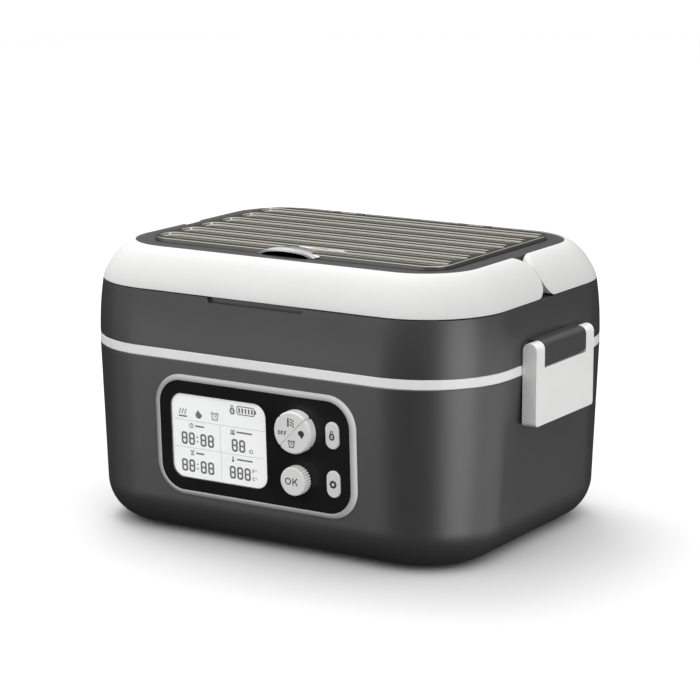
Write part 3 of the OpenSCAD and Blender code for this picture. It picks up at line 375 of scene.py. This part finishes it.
# Lid: its corner sweeps in and up as an angle t goes from 0 at the widest to 90 at the top
LID_LOW, LID_Z, SEAT_Z, LEAN, LID_DROP, LID_WALL = 100.2, 129.2, 146.2, 2.6, 4.1, 2.6
SIDE_POWER, DROP_RATE = 2.2, 0.866
SHOULDER_UNDER, SHOULDER_IN, SHOULDER_TO, SEAT_IN = 6.9, 16.8, 60, 19.4
RING_RISE, RING_IN = 19.9, 16.4
RING_TOP = LID_Z + RING_RISE
IN_POWER, UP_POWER = 1.25, 1.54
PIVOT_Y, PIVOT_Z = -10.2, 139.3


def ring_in(t):
    """How far the ring's outside has come in at an angle."""
    return RING_IN * (1 - max(math.cos(math.radians(t)), 0) ** IN_POWER)


def ring_up(t):
    """The ring's height at an angle."""
    return LID_Z + RING_RISE * math.sin(math.radians(t)) ** UP_POWER


def ring_drop(i):
    """How much less the corner radius is where the lid has come in by i."""
    return LID_DROP + DROP_RATE * i


def lid_side(wall, steps):
    """Rings of the lid's side wall from the bottom up, at a depth into the wall."""
    rings = []
    for k in range(steps + 1):
        part = k / steps
        s = part ** SIDE_POWER
        rings.append(outline(LEAN * s + wall, LID_DROP * s + wall, LID_LOW + (LID_Z - 0.4 - LID_LOW) * part))
    return rings


def shoulder(wall, steps):
    """Rings of the shoulder that the carry ring lies on, at a depth into the wall."""
    rings = []
    for k in range(steps + 1):
        t = SHOULDER_TO * k / steps
        i = min(ring_in(t) + SHOULDER_UNDER, SHOULDER_IN) + wall
        rings.append(outline(LEAN + i, ring_drop(i), ring_up(t) - 0.6 * wall))
    return rings


rings = [outline(d, d, z) for d, z in ((0.5, LID_LOW), (0.2, 100.25), (0.05, 100.45))]
rings += lid_side(0, 14)[1:] + [outline(LEAN + 0.08, 4.2, 128.88), outline(LEAN + 0.3, 4.4, 128.93)]
rings += shoulder(0, 10) + [outline(LEAN + i, ring_drop(i), SEAT_Z) for i in (SHOULDER_IN, SEAT_IN)]
rings += shoulder(LID_WALL, 6)[::-1] + lid_side(LID_WALL, 6)[::-1]
lid = new_piece("lid_body", *tube(rings), "shell", "lid")
# Seats of the latch lugs, then pockets for the rounded ends of the ring's halves
tools = both_sides((119.2, -22.3, 99), (124, 22.3, 111.8))
for s in (-1, 1):
    x0, x1 = sorted((s * 100.9, s * 125))
    tools.append(rod((x0, PIVOT_Y, PIVOT_Z), 10.35, x1 - x0, 96))
    tools.append(box((x0, PIVOT_Y, PIVOT_Z), (x1, 0.15, 147.2)))
finger_recess = prism([(-28, 126.4), (28, 126.4), (30, 130), (-30, 130)], -96, -87.7)
shape(lid, tools + [finger_recess])
shape(lid, both_sides((94, PIVOT_Y - 13, 126), (100.6, PIVOT_Y + 13, 146)), "UNION")
soften(lid, sharp=32)
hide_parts("lid_shell")

# Ring: the swinging front half and the fixed rear half, each with rounded ends
RING_LOW, RING_THICK, INNER_IN, INNER_FROM = 129.75, 6.5, 15.6, 48
END_R, EDGE = 10, 0.9


def ring_section():
    """Inset and height round the ring's section: up the outside, then down the inside."""
    levels = [ring_up(2.5 + 1.5 * k) for k in range(4)] + [ring_up(9 + 4.5 * k) for k in range(19)]
    levels[0] = RING_LOW
    column = []
    for z in levels:
        t = math.degrees(math.asin(min(1.0, ((z - LID_Z) / RING_RISE) ** (1 / UP_POWER))))
        outer = ring_in(t)
        inner = min(outer + RING_THICK, INNER_IN)
        if t >= INNER_FROM:
            inner = INNER_IN + 0.8 * (z - ring_up(INNER_FROM)) / (RING_TOP - ring_up(INNER_FROM))
        column.append((outer, inner, z))
    return [(o, z) for o, i, z in column] + [(i, z) for o, i, z in column[::-1] if i > o + 0.02]


def ring_path(i, z, arc=26, straight=16, front=24):
    """The half ring's plan path at an inset and height, from its right end to its left end."""
    a, b, r = HALF_W - LEAN - i, HALF_D - LEAN - i, CORNER_R - ring_drop(i)
    reach = PIVOT_Y + math.sqrt(max(0.0, END_R ** 2 - (z - PIVOT_Z) ** 2))
    end = [(a, r - b + (reach + b - r) * k / straight) for k in range(straight, 0, -1)]
    turns = [math.radians(90 * k / arc) for k in range(arc + 1)]
    corner = [(a - r + r * math.cos(q), r - b - r * math.sin(q)) for q in turns]
    half = end + corner
    middle = [(a - r - 2 * (a - r) * k / front, -b) for k in range(1, front)]
    return [(x, y, z) for x, y in half + middle + [(-x, y) for x, y in half[::-1]]]


def end_cap(rows, length, column):
    """Faces that close one end of the ring's section, zigzagging between its two sides."""
    faces = []
    low, high = 0, rows - 1
    while high - low > 1:
        corners = (low, low + 1, high) if high - low == 2 else (low, low + 1, high - 1, high)
        faces.append(tuple(row * length + column for row in corners))
        low, high = low + 1, high - 1
    return faces


def on_ring_end(point):
    """Whether a point lies on the rounded end of a ring half or on its flat beside the split."""
    off_round = abs(math.hypot(abs(point.y) + PIVOT_Y, point.z - PIVOT_Z) - END_R)
    return abs(point.y) < 21 and (abs(point.y) < 0.9 or off_round < 0.4)


def ring_half(name, rear, body):
    """Half of the ring as a grid: along the plan path, and round the section."""
    rows = [ring_path(i, z) for i, z in ring_section()]
    n, m = len(rows), len(rows[0])
    points = [(x, -y if rear else y, z) for row in rows for x, y, z in row]
    faces = [(j * m + k, j * m + k + 1, (j + 1) % n * m + k + 1, (j + 1) % n * m + k)
             for j in range(n) for k in range(m - 1)]
    faces += end_cap(n, m, 0) + end_cap(n, m, m - 1)
    o = new_piece(name, points, faces, "ring", body)
    bm = bmesh.new()
    bm.from_mesh(o.data)
    weight = bm.edges.layers.float.new("bevel_weight_edge")
    for e in bm.edges:
        if e.calc_face_angle(0) > math.radians(38):
            middle = (e.verts[0].co + e.verts[1].co) / 2 / MM
            e[weight] = 1.0 if on_ring_end(middle) else 0.6
    bm.to_mesh(o.data)
    bm.free()
    mod = o.modifiers.new("edge", "BEVEL")
    mod.width, mod.segments, mod.limit_method = EDGE * MM, 3, "WEIGHT"
    baked(o)
    return o


handle = ring_half("carry_ring_front", False, "handle")
trim = ring_half("carry_ring_rear", True, "lid")
for o in (handle, trim):
    soften(o, sharp=40)
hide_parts("carry_handle")
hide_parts("rear_trim")

# Bezel of the control panel: a rounded frame that drops to the fascia inside
BEZEL_A, BEZEL_B, BEZEL_R, BEZEL_ROUND, BEZEL_HIGH = 60.6, 32, 16.5, 2.35, 1.85
rings = []
for k in range(11):
    t = math.radians(9 * k)
    d = BEZEL_ROUND * (1 - math.cos(t))
    rings.append(face_ring(BEZEL_A - d, BEZEL_B - d, BEZEL_R - d, 0.05 + BEZEL_HIGH * math.sin(t)))
for d, w in ((2.9, 1.88), (3.1, 1.78), (3.2, 1.6), (3.2, -4.0)):
    rings.append(face_ring(BEZEL_A - d, BEZEL_B + 0.3 - d, BEZEL_R - d, w))
for d, w in ((1.8, -4.0), (1.8, 0.05)):
    rings.append(face_ring(BEZEL_A - d, BEZEL_B - d, BEZEL_R - d, w))
bezel = new_piece("panel_frame_rim", *tube(rings), "panel_frame", "base")
soften(bezel, sharp=40)
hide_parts("panel_bezel")

# Ribbed cover: a plate with six sunk channels, all with rounded edges, and its two hinge knuckles
COVER_A, COVER_B, COVER_R, COVER_EDGE = 89, 60, 12, 0.5
COVER_Y, COVER_LOW, COVER_TOP = 1, 147.6, 150.7
CHANNEL_A, CHANNEL_B, CHANNEL_R, CHANNEL_FIRST, CHANNEL_STEP = 86.5, 6.79, 5, 5.5, 19.083
LOW_ROUND, LOW_Z, HIGH_ROUND, HIGH_Z = 0.62, 149.82, 0.55, 150.15
HINGE_Y, HINGE_Z = 63.2, 149.0
# The hood is a cap of a sphere, and so is the hole for it in the cover
SPHERE_Y, SPHERE_Z, HOOD_R, HOOD_IN_R = -60, 115.1, 38.1, 36.8


def sphere_ring(r, z, steps):
    """A circle of the hood's sphere of radius r at height z."""
    flat = math.sqrt(max(r * r - (z - SPHERE_Z) ** 2, 0.0025))
    turns = [math.radians(360 / steps * n) for n in range(steps)]
    return [(flat * math.cos(a), flat * math.sin(a) + SPHERE_Y, z) for a in turns]


def channel(y):
    """The tool that sinks one channel, rounded at the bottom and at the upper edge."""
    low = [math.radians(15 * k) for k in range(7)]
    high = [math.radians(13 * k) for k in range(7)]
    section = [(-LOW_ROUND + LOW_ROUND * math.sin(t), LOW_Z - LOW_ROUND * math.cos(t)) for t in low]
    section += [(HIGH_ROUND - HIGH_ROUND * math.cos(t), HIGH_Z + HIGH_ROUND * math.sin(t)) for t in high]
    section.append((0.48, 151.6))
    return solid([ring(CHANNEL_A + d, CHANNEL_B + d, CHANNEL_R + d, z, y, arc=12) for d, z in section])


turns = [math.radians(15 * k) for k in range(7)]
rounded = [(COVER_EDGE - COVER_EDGE * math.sin(t), COVER_TOP - COVER_EDGE + COVER_EDGE * math.cos(t))
           for t in turns]
profile = [(0.25, COVER_LOW), (0, 147.85)] + rounded[::-1]
rings = [ring(COVER_A - d, COVER_B - d, COVER_R - d, z, COVER_Y) for d, z in profile]
cover = new_piece("serving_cover", *tube(rings, closed=False), "ribs", "cover")
tools = [channel(COVER_Y - COVER_B + CHANNEL_FIRST + CHANNEL_B + CHANNEL_STEP * k) for k in range(6)]
tools.append(solid([sphere_ring(HOOD_R, 147 + 4.6 * k / 7, 96) for k in range(8)]))
shape(cover, tools)
knuckles = [rod((x - 5, HINGE_Y, HINGE_Z), 1.5, 10, 40) for x in (-40, 40)]
knuckles += [box((x - 5, 60.2, 148.1), (x + 5, HINGE_Y, 149.9)) for x in (-40, 40)]
shape(cover, knuckles, "UNION")
cover.data.materials.append(M["ribs_back"])
for face in cover.data.polygons:
    face.material_index = int(face.normal.z < -0.5 and face.center.z < 147.8 * MM)
soften(cover, sharp=40)
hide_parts("ribbed_cover")


# Hood: a thin dome over the finger pocket, with a deeper rounded lip in front

def dome(r, top):
    """Rings of a closed cap of the hood's sphere between the cover's underside and a height."""
    heights = [COVER_LOW + (top - COVER_LOW) * math.sin(math.radians(6 * k)) for k in range(15)]
    return [sphere_ring(r, z, 120) for z in heights]


MOUTH, CUT_FROM, CUT_TO = 14.6, (-30, -90, 140), 160
hood = new_piece("lifting_hood", *tube(dome(HOOD_R, SPHERE_Z + 38.08), closed=False), "hood", "cover")
hollow = solid(dome(HOOD_IN_R, SPHERE_Z + 36.78))
shape(hollow, [box(CUT_FROM, (30, -60.6, CUT_TO))])
turns = [math.radians(9 * k) for k in range(21)]
mouth = [(MOUTH * math.cos(t), 148.3 + 2.7 * math.sin(t)) for t in turns] + [(-MOUTH, 140), (MOUTH, 140)]
front = [box(CUT_FROM, (30, -62.3, CUT_TO)), box(CUT_FROM, (30, -59.1, 148.8)), prism(mouth, -70, -59.5)]
shape(hood, [hollow, *front, *both_sides((17.2, -90, 140), (30, -40, CUT_TO))])
soften(hood, 0.45, angle=50, segments=3, sharp=40)
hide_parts("finger_hood")


# Printed and lit marks

def placed(path, at, turn, scale):
    """The path scaled, turned by an angle in degrees and moved to a place."""
    c, s = math.cos(math.radians(turn)), math.sin(math.radians(turn))
    return [(at[0] + scale * (x * c - y * s), at[1] + scale * (x * s + y * c)) for x, y in path]


class Marks:
    """Thin raised shapes drawn on the control panel's face, gathered into one mesh."""

    def __init__(self):
        self.points, self.faces = [], []

    def plate(self, loop, inner=None):
        """A closed outline, or the band between two of equal length, as a thin plate."""
        n, base = len(loop), len(self.points)
        self.points += [(x, y, layer) for layer in (0, 1) for x, y in loop]
        if inner is None:
            self.faces += [tuple(base + k for k in range(n))[::-1], tuple(base + n + k for k in range(n))]
            self.faces += [(base + k, base + (k + 1) % n, base + n + (k + 1) % n, base + n + k)
                           for k in range(n)]
            return
        self.points += [(x, y, layer) for layer in (0, 1) for x, y in inner]
        a, b, c, d = base, base + n, base + 2 * n, base + 3 * n
        for k in range(n):
            q = (k + 1) % n
            self.faces += [(a + k, c + k, c + q, a + q), (b + k, b + q, d + q, d + k),
                           (a + k, a + q, b + q, b + k), (c + k, d + k, d + q, c + q)]

    def stroke(self, path, width, closed=False, at=(0, 0), turn=0.0, scale=1.0):
        """A line of even width through the points, mitred at its corners."""
        line = placed(path, at, turn, scale)
        n, left, right = len(line), [], []
        for k, (x, y) in enumerate(line):
            before, after = line[k - 1], line[(k + 1) % n]
            if k == 0 and not closed:
                before = (2 * x - after[0], 2 * y - after[1])
            if k == n - 1 and not closed:
                after = (2 * x - before[0], 2 * y - before[1])
            ax, ay, bx, by = x - before[0], y - before[1], after[0] - x, after[1] - y
            la, lb = math.hypot(ax, ay) or 1, math.hypot(bx, by) or 1
            mx, my = -(ay / la + by / lb), ax / la + bx / lb
            size = math.hypot(mx, my) or 1
            mx, my = mx / size, my / size
            reach = width / 2 / max(0.45, mx * -ay / la + my * ax / la)
            left.append((x + mx * reach, y + my * reach))
            right.append((x - mx * reach, y - my * reach))
        if closed:
            self.plate(left, right)
        else:
            self.plate(left + right[::-1])

    def fill(self, path, at=(0, 0), turn=0.0, scale=1.0):
        """A filled outline."""
        self.plate(placed(path, at, turn, scale))

    def piece(self, name, mat, body, low, high):
        """The gathered mesh, between two heights out of the panel's face."""
        points = [on_face(x, y, high if layer else low) for x, y, layer in self.points]
        return new_piece(name, points, self.faces, mat, body)


def arc(r, start, end, steps=20, x=0.0, y=0.0, squeeze=1.0):
    """Points of an arc between two angles in degrees; squeeze scales its height."""
    return [(x + r * math.cos(math.radians(a)), y + squeeze * r * math.sin(math.radians(a)))
            for a in (start + (end - start) * k / steps for k in range(steps + 1))]


def circle(r, x=0.0, y=0.0, steps=24):
    """Points of a circle, without the first one twice."""
    return arc(r, 0, 360 * (steps - 1) / steps, steps - 1, x, y)


def eight(ink, u, v, wide=3.75, high=6.7, pen=1.05):
    """A display digit with all its segments lit."""
    a, b, cut, waist = wide / 2 - pen / 2, high / 2 - pen / 2, 0.62, 0.34
    ink.stroke([(cut - a, -b), (a - cut, -b), (a, cut - b), (a, -0.5), (a - waist, 0), (a, 0.5), (a, b - cut),
                (a - cut, b), (cut - a, b), (-a, b - cut), (-a, 0.5), (waist - a, 0), (-a, -0.5),
                (-a, cut - b)], pen, closed=True, at=(u, v))
    ink.stroke([(waist - a + pen / 2, 0), (a - waist - pen / 2, 0)], pen * 0.92, at=(u, v))


def steam(ink, at, turn=0.0, scale=1.0):
    """Three rising curls over a bar."""
    for x in (-1.45, 0, 1.45):
        ink.stroke([(x - 0.55, -1.0), (x - 0.15, -0.45), (x - 0.1, 0.2), (x + 0.35, 0.8), (x + 0.55, 1.6)],
                   0.5, at=at, turn=turn, scale=scale)
    ink.stroke([(-2.2, -2.0), (2.2, -2.0)], 0.85, at=at, turn=turn, scale=scale)


def flame(ink, at, turn=0.0, scale=1.0):
    """A round flame with one tongue."""
    ink.fill([(-0.35, 2.2), (-0.85, 1.25), (-1.25, 0.75), (-1.75, 0.1), (-1.85, -0.6), (-1.5, -1.4),
              (-0.8, -1.95), (0, -2.1), (0.85, -1.95), (1.5, -1.4), (1.85, -0.6), (1.7, 0.15), (1.35, 0.65),
              (1.2, 0.05), (0.75, 0.75), (0.3, 1.35)], at=at, turn=turn, scale=scale)


def alarm(ink, at, scale=1.0):
    """An alarm clock: dial, hands, bells and feet."""
    for path, width, closed in ((circle(1.45), 0.5, True),
                                ([(0, 0.95), (0, 0), (0.7, -0.1)], 0.42, False),
                                ([(-1.95, 1.0), (-1.6, 1.6), (-0.95, 1.95)], 0.5, False),
                                ([(0.95, 1.95), (1.6, 1.6), (1.95, 1.0)], 0.5, False),
                                ([(-1.45, -1.75), (-1.1, -1.35)], 0.42, False),
                                ([(1.1, -1.35), (1.45, -1.75)], 0.42, False)):
        ink.stroke(path, width, closed, at=at, scale=scale)


def padlock(ink, at, scale=1.0):
    """A round padlock with an open shackle and a keyhole."""
    body = [(x * 1.05, y * 1.25 - 0.75) for x, y in circle(1.0)]
    shackle = [(-0.62, 0.55), *arc(0.62, 180, 0, 12, 0, 1.25), (0.62, 0.95)]
    ink.stroke(body, 0.85, True, at=at, scale=scale)
    ink.stroke(shackle, 0.52, at=at, scale=scale)
    ink.fill(circle(0.34, 0, -0.7, 12), at=at, scale=scale)


def gear(ink, at, scale=1.0):
    """A toothed wheel with a round hole."""
    tooth = (2.1, 2.1, 1.72, 1.66, 1.66, 1.72)
    turns = [math.radians(360 * k / 48) for k in range(48)]
    outer = [(tooth[k % 6] * math.cos(a), tooth[k % 6] * math.sin(a)) for k, a in enumerate(turns)]
    ink.plate(placed(outer, at, 0, scale), placed(circle(0.72, steps=48), at, 0, scale))


def letter(ink, kind, at, high, pen, wide):
    """Plain capital strokes for the switch marks and the unit signs."""
    a, b, edge = wide / 2 - pen / 2, high / 2 - pen / 2, pen / 2
    lines = {
        "O": [arc(a, 0, 345, 23, squeeze=b / a)],
        "C": [arc(a, 45, 315, 14, squeeze=b / a)],
        "F": [[(-a, -b - edge), (-a, b), (a, b)], [(-a + edge, 0), (a * 0.7, 0)]],
        "K": [[(-a, -b - edge), (-a, b + edge)], [(a, b + edge), (-a + edge, -0.12 * high)],
              [(-0.05 * wide, 0.08 * high), (a + pen * 0.2, -b - edge)]],
    }
    for line in lines[kind]:
        ink.stroke(line, pen, kind == "O", at=at)


def degree(ink, at):
    """A degree sign."""
    ink.stroke(circle(0.3, *at, 12), 0.2, True)


# Display: digits, colons, pictograms and unit signs under the clear lens, placed by u and v
ink = Marks()
for shift, v in ((0, -1.38), (-0.45, -15.88)):
    for u in (-43.2, -38.62, -31.45, -26.8):
        eight(ink, u + shift, v)
    for dv in (-1.15, 1.15):
        ink.fill([(-0.42, -0.42), (0.42, -0.42), (0.42, 0.42), (-0.42, 0.42)], at=(-35.1 + shift, v + dv))
for u, v in ((-12.05, -1.38), (-7.5, -1.38), (-13.85, -15.9), (-9.3, -15.9), (-4.72, -15.9)):
    eight(ink, u, v)
steam(ink, (-43.8, 12.45), scale=1.15)
flame(ink, (-33.8, 12.1), scale=1.08)
alarm(ink, (-23.75, 12.1), scale=1.2)
padlock(ink, (-12.85, 17.4), scale=1.1)
# Battery sign: its case, its bars and its tip
ink.stroke([(-9.3, 15.3), (-0.1, 15.3), (0.55, 15.95), (0.55, 18.85), (-0.1, 19.5), (-9.3, 19.5),
            (-9.95, 18.85), (-9.95, 15.95)], 0.5, closed=True)
for u in (-8.55, -6.65, -4.7, -2.75, -0.85):
    ink.stroke([(u, 16.1), (u, 18.7)], 1.0)
ink.stroke([(1.25, 16.4), (1.25, 18.4)], 0.85)
letter(ink, "F", (-0.9, -13.75), 2.0, 0.42, 1.4)
letter(ink, "C", (-0.85, -17.85), 2.0, 0.42, 1.6)
degree(ink, (0.45, -13.2))
degree(ink, (0.55, -17.25))
# Small pictograms and bars over and beside the digits
for u, v, length in ((-38.6, 5.5, 5.4), (-13.0, 5.6, 9.4), (-38.6, -9.0, 5.0), (-13.4, -8.9, 9.6)):
    ink.stroke([(u + 2.4, v + 0.15), (u + 2.4 + length, v + 0.15)], 0.85)
ink.stroke(circle(1.1, -38.6, 5.6, 18), 0.4, True)
ink.stroke([(-38.6, 6.3), (-38.6, 5.6), (-38.1, 5.6)], 0.32)
steam(ink, (-13.1, 5.8), scale=0.62)
ink.stroke([(-39.5, -7.9), (-37.7, -7.9), (-39.5, -10.0), (-37.7, -10.0)], 0.4, closed=True)
ink.stroke([(-13.4, -7.5), (-13.4, -9.3)], 0.65)
ink.fill(circle(0.7, -13.4, -9.7, 12))
ink.stroke([(-3.5, -3.5), (-2.45, -3.5)], 0.45)
ink.stroke(circle(0.95, -2.0, -3.5, 16), 0.38, True)
ink.piece("display_segments", "segments", "base", low=0.705, high=0.74)
thin = Marks()
for path in ([(-49.5, 8.25), (6.4, 8.25)], [(-49.7, -6.27), (4.9, -6.27)],
             [(-20.75, 8.1), (-20.75, -6.1)], [(-20.75, -6.42), (-20.75, -19.8)]):
    thin.stroke(path, 0.22)
thin.piece("display_rules", "rules", "base", low=0.705, high=0.73)

# Clear lens with a softened rim, standing for the CAD lens
LENS_A, LENS_B, LENS_R, LENS_U = 29.2, 22.3, 6.9, -21.4
rings = [face_ring(LENS_A - d, LENS_B - d, LENS_R - d, w, LENS_U)
         for d, w in ((0.0, 0.95), (0.0, 1.3), (0.08, 1.42), (0.25, 1.5))]
lens = new_piece("display_glass", *tube(rings, closed=False), "lens", "base")
soften(lens, sharp=30)
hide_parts("display_lens")

# Confirm knob with a ridged side: height out of the face, inset, and how deep the ridges are cut
CONFIRM_U, CONFIRM_V, CONFIRM_R = 27.3, -13.2, 7.5
RIDGE = (0, 0, 0.1, 0.8, 0.9, 0.1)
rings = []
for w, inset, depth in ((2.6, 0, 1), (4.2, 0, 1), (5.8, 0, 1), (7.0, 0, 1), (7.35, 0.06, 0.4),
                        (7.65, 0.22, 0), (7.83, 0.45, 0), (7.9, 0.75, 0)):
    radii = [CONFIRM_R - inset - depth * RIDGE[k % 6] for k in range(180)]
    rings.append([on_face(CONFIRM_U + r * math.cos(math.radians(k * 2)),
                          CONFIRM_V + r * math.sin(math.radians(k * 2)), w) for k, r in enumerate(radii)])
knob = new_piece("confirm_knob", *tube(rings, closed=False), "knob", "ok_dial")
soften(knob, sharp=35)
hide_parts("ok_knob")

# Marks on the knobs and buttons
face = Marks()
steam(face, (27.2, 17.2), turn=-90)
flame(face, (32.75, 11.75), turn=180)
alarm(face, (26.9, 6.1), scale=1.08)
for k, kind in enumerate("OFF"):
    letter(face, kind, (19.7 + 1.9 * k, 11.4), 2.1, 0.44, 1.55)
face.piece("selector_marks", "print", "selector", low=7.29, high=7.318)
face = Marks()
letter(face, "O", (24.55, -13.15), 3.7, 0.62, 3.6)
letter(face, "K", (28.75, -13.15), 3.7, 0.62, 3.1)
face.piece("confirm_marks", "print", "ok_dial", low=7.89, high=7.918)
face = Marks()
padlock(face, (47.7, 12.2), scale=1.12)
face.piece("lock_mark", "print", "lock_key", low=2.49, high=2.518)
face = Marks()
gear(face, (47.7, -13.2), scale=1.1)
face.piece("settings_mark", "print", "settings_key", low=2.49, high=2.518)


# Kept CAD nodes with their crisp edges softened

def crisp(name, width, angle=40.0):
    """Welds a node's mesh, merges its flat faces and bevels its edges, all by modifiers."""
    o = nodes[name]
    weld = o.modifiers.new("weld", "WELD")
    weld.merge_threshold = 2e-6
    flat = o.modifiers.new("flat", "DECIMATE")
    flat.decimate_type, flat.angle_limit = "DISSOLVE", math.radians(0.4)
    edge = o.modifiers.new("edge", "BEVEL")
    edge.width, edge.segments, edge.limit_method = width * MM, 2, "ANGLE"
    edge.angle_limit = math.radians(angle)
    shade = o.modifiers.new("shading", "WEIGHTED_NORMAL")
    shade.keep_sharp, shade.weight = False, 60


for name, width in (("right_latch", 0.5), ("left_latch", 0.5), ("latch_lugs", 0.3),
                    ("lock_button", 0.2), ("settings_button", 0.2)):
    crisp(name, width)


# Camera, light and floor

CAMERA_AZIMUTH, CAMERA_ELEVATION, CAMERA_DISTANCE, CAMERA_AIM_Z = 31.99, 12.06, 1.39755, 0.0889
FOCAL_PIXELS, FRAME_PIXELS, SENSOR_WIDTH = 2633.14, 700, 36.0
LIGHT_AIM = Vector((0, 0, 0.07))
FLOOR, WALL_R, WALL_LOW, WALL_TOP = 9, 2800, -10, 9000


def direction(azimuth, elevation):
    """The unit vector from the box towards a place at these angles in degrees."""
    az, el = math.radians(azimuth), math.radians(elevation)
    return Vector((math.sin(az) * math.cos(el), -math.cos(az) * math.cos(el), math.sin(el)))


def place_camera():
    """The photograph's camera."""
    back = direction(CAMERA_AZIMUTH, CAMERA_ELEVATION)
    data = bpy.data.cameras.new("camera")
    data.lens, data.sensor_width = FOCAL_PIXELS * SENSOR_WIDTH / FRAME_PIXELS, SENSOR_WIDTH
    cam = bpy.data.objects.new("camera", data)
    bpy.context.scene.collection.objects.link(cam)
    cam.location = Vector((0, 0, CAMERA_AIM_Z)) + back * CAMERA_DISTANCE
    right = direction(CAMERA_AZIMUTH + 90, 0)
    up = back.cross(right)
    cam.rotation_mode = "QUATERNION"
    cam.rotation_quaternion = Matrix((right, up, back)).transposed().to_quaternion()
    bpy.context.scene.camera = cam


def aimed_light(name, azimuth, elevation, distance, size, power):
    """A soft rectangular light that looks at the box."""
    data = bpy.data.lights.new(name, "AREA")
    data.shape, data.energy = "RECTANGLE", power
    data.size, data.size_y = size
    o = bpy.data.objects.new(name, data)
    bpy.context.scene.collection.objects.link(o)
    away = distance * direction(azimuth, elevation)
    o.location = LIGHT_AIM + away
    o.rotation_mode = "QUATERNION"
    o.rotation_quaternion = (-away).to_track_quat("-Z", "Y")
    return o


def studio_world():
    """Soft light from above that fades towards the horizon, and none from below."""
    world = bpy.data.worlds.new("studio")
    scene.world = world
    world.use_nodes = True
    tree = world.node_tree
    place = tree.nodes.new("ShaderNodeTexCoord")
    split = tree.nodes.new("ShaderNodeSeparateXYZ")
    ramp = tree.nodes.new("ShaderNodeValToRGB")
    tree.links.new(place.outputs["Generated"], split.inputs[0])
    tree.links.new(split.outputs["Z"], ramp.inputs[0])
    tree.links.new(ramp.outputs[0], tree.nodes["Background"].inputs["Color"])
    stops = ramp.color_ramp.elements
    for position, grey in ((0.0, 0.015), (0.05, 0.04), (0.28, 0.14), (0.5, 0.75), (0.9, 1.0)):
        stop = stops[0] if position == 0 else stops.new(position)
        stop.position, stop.color = position, (grey, grey, grey, 1)
    stops.remove(stops[-1])
    tree.nodes["Background"].inputs["Strength"].default_value = 1.28


def leave_out(name, pieces, lights):
    """Keeps the lights off the pieces."""
    group = bpy.data.collections.new(name)
    for piece in pieces:
        group.objects.link(piece)
    for held in group.collection_objects:
        held.light_linking.link_state = "EXCLUDE"
    for light in lights:
        light.light_linking.receiver_collection = group


scene = bpy.context.scene
scene.view_settings.view_transform = "Standard"
place_camera()
studio_world()
key = aimed_light("key", 73, -8, 1.8, (1.2, 1.2), power=14)
right = aimed_light("right", 119, -16, 1.8, (1.4, 0.9), power=4.9)
front_lights = [aimed_light("left", -68, -2, 1.8, (0.5, 1.1), power=1),
                aimed_light("front", -33, 36, 1.9, (1.5, 0.8), power=14),
                aimed_light("low_front", -33, -10, 1.9, (1.1, 0.7), power=4)]
rear = aimed_light("rear", 235, 58, 2.0, (1.2, 1.2), power=14)

floor_corners = [(-FLOOR, -FLOOR, 0), (FLOOR, -FLOOR, 0), (FLOOR, FLOOR, 0), (-FLOOR, FLOOR, 0)]
floor_mesh = bpy.data.meshes.new("floor")
floor_mesh.from_pydata(floor_corners, [], [(0, 1, 2, 3)])
M["floor"] = material("pale_floor", colour(252), 0.9, 0.004, 2, 40, 0.0, level=0.2)
floor_mesh.materials.append(M["floor"])
floor = bpy.data.objects.new("floor", floor_mesh)
scene.collection.objects.link(floor)
floor.visible_diffuse = floor.visible_glossy = floor.visible_shadow = False

# A pale wall round the floor, without end faces, so that a low view has a pale background too
turns = [math.radians(5.625 * k) for k in range(64)]
wall_points, wall_faces = tube([[(WALL_R * math.cos(a), WALL_R * math.sin(a), z) for a in turns]
                                for z in (WALL_LOW, WALL_TOP)], closed=False)
M["wall"] = material("pale_wall", colour(235), 0.9, 0.004, 2, 40, 0.0, level=0.2, glow=0.9)
backdrop = new_piece("backdrop", wall_points, wall_faces[:-2], "wall", None)
backdrop.visible_diffuse = backdrop.visible_glossy = backdrop.visible_shadow = False

leave_out("not_lit_by_key", [floor], [key])
leave_out("not_lit_from_right", [floor, cover], [right])
leave_out("not_lit_from_behind", [cover], [rear])
leave_out("not_lit_in_front", [floor, cover, bezel, nodes["panel_fascia"]], front_lights)
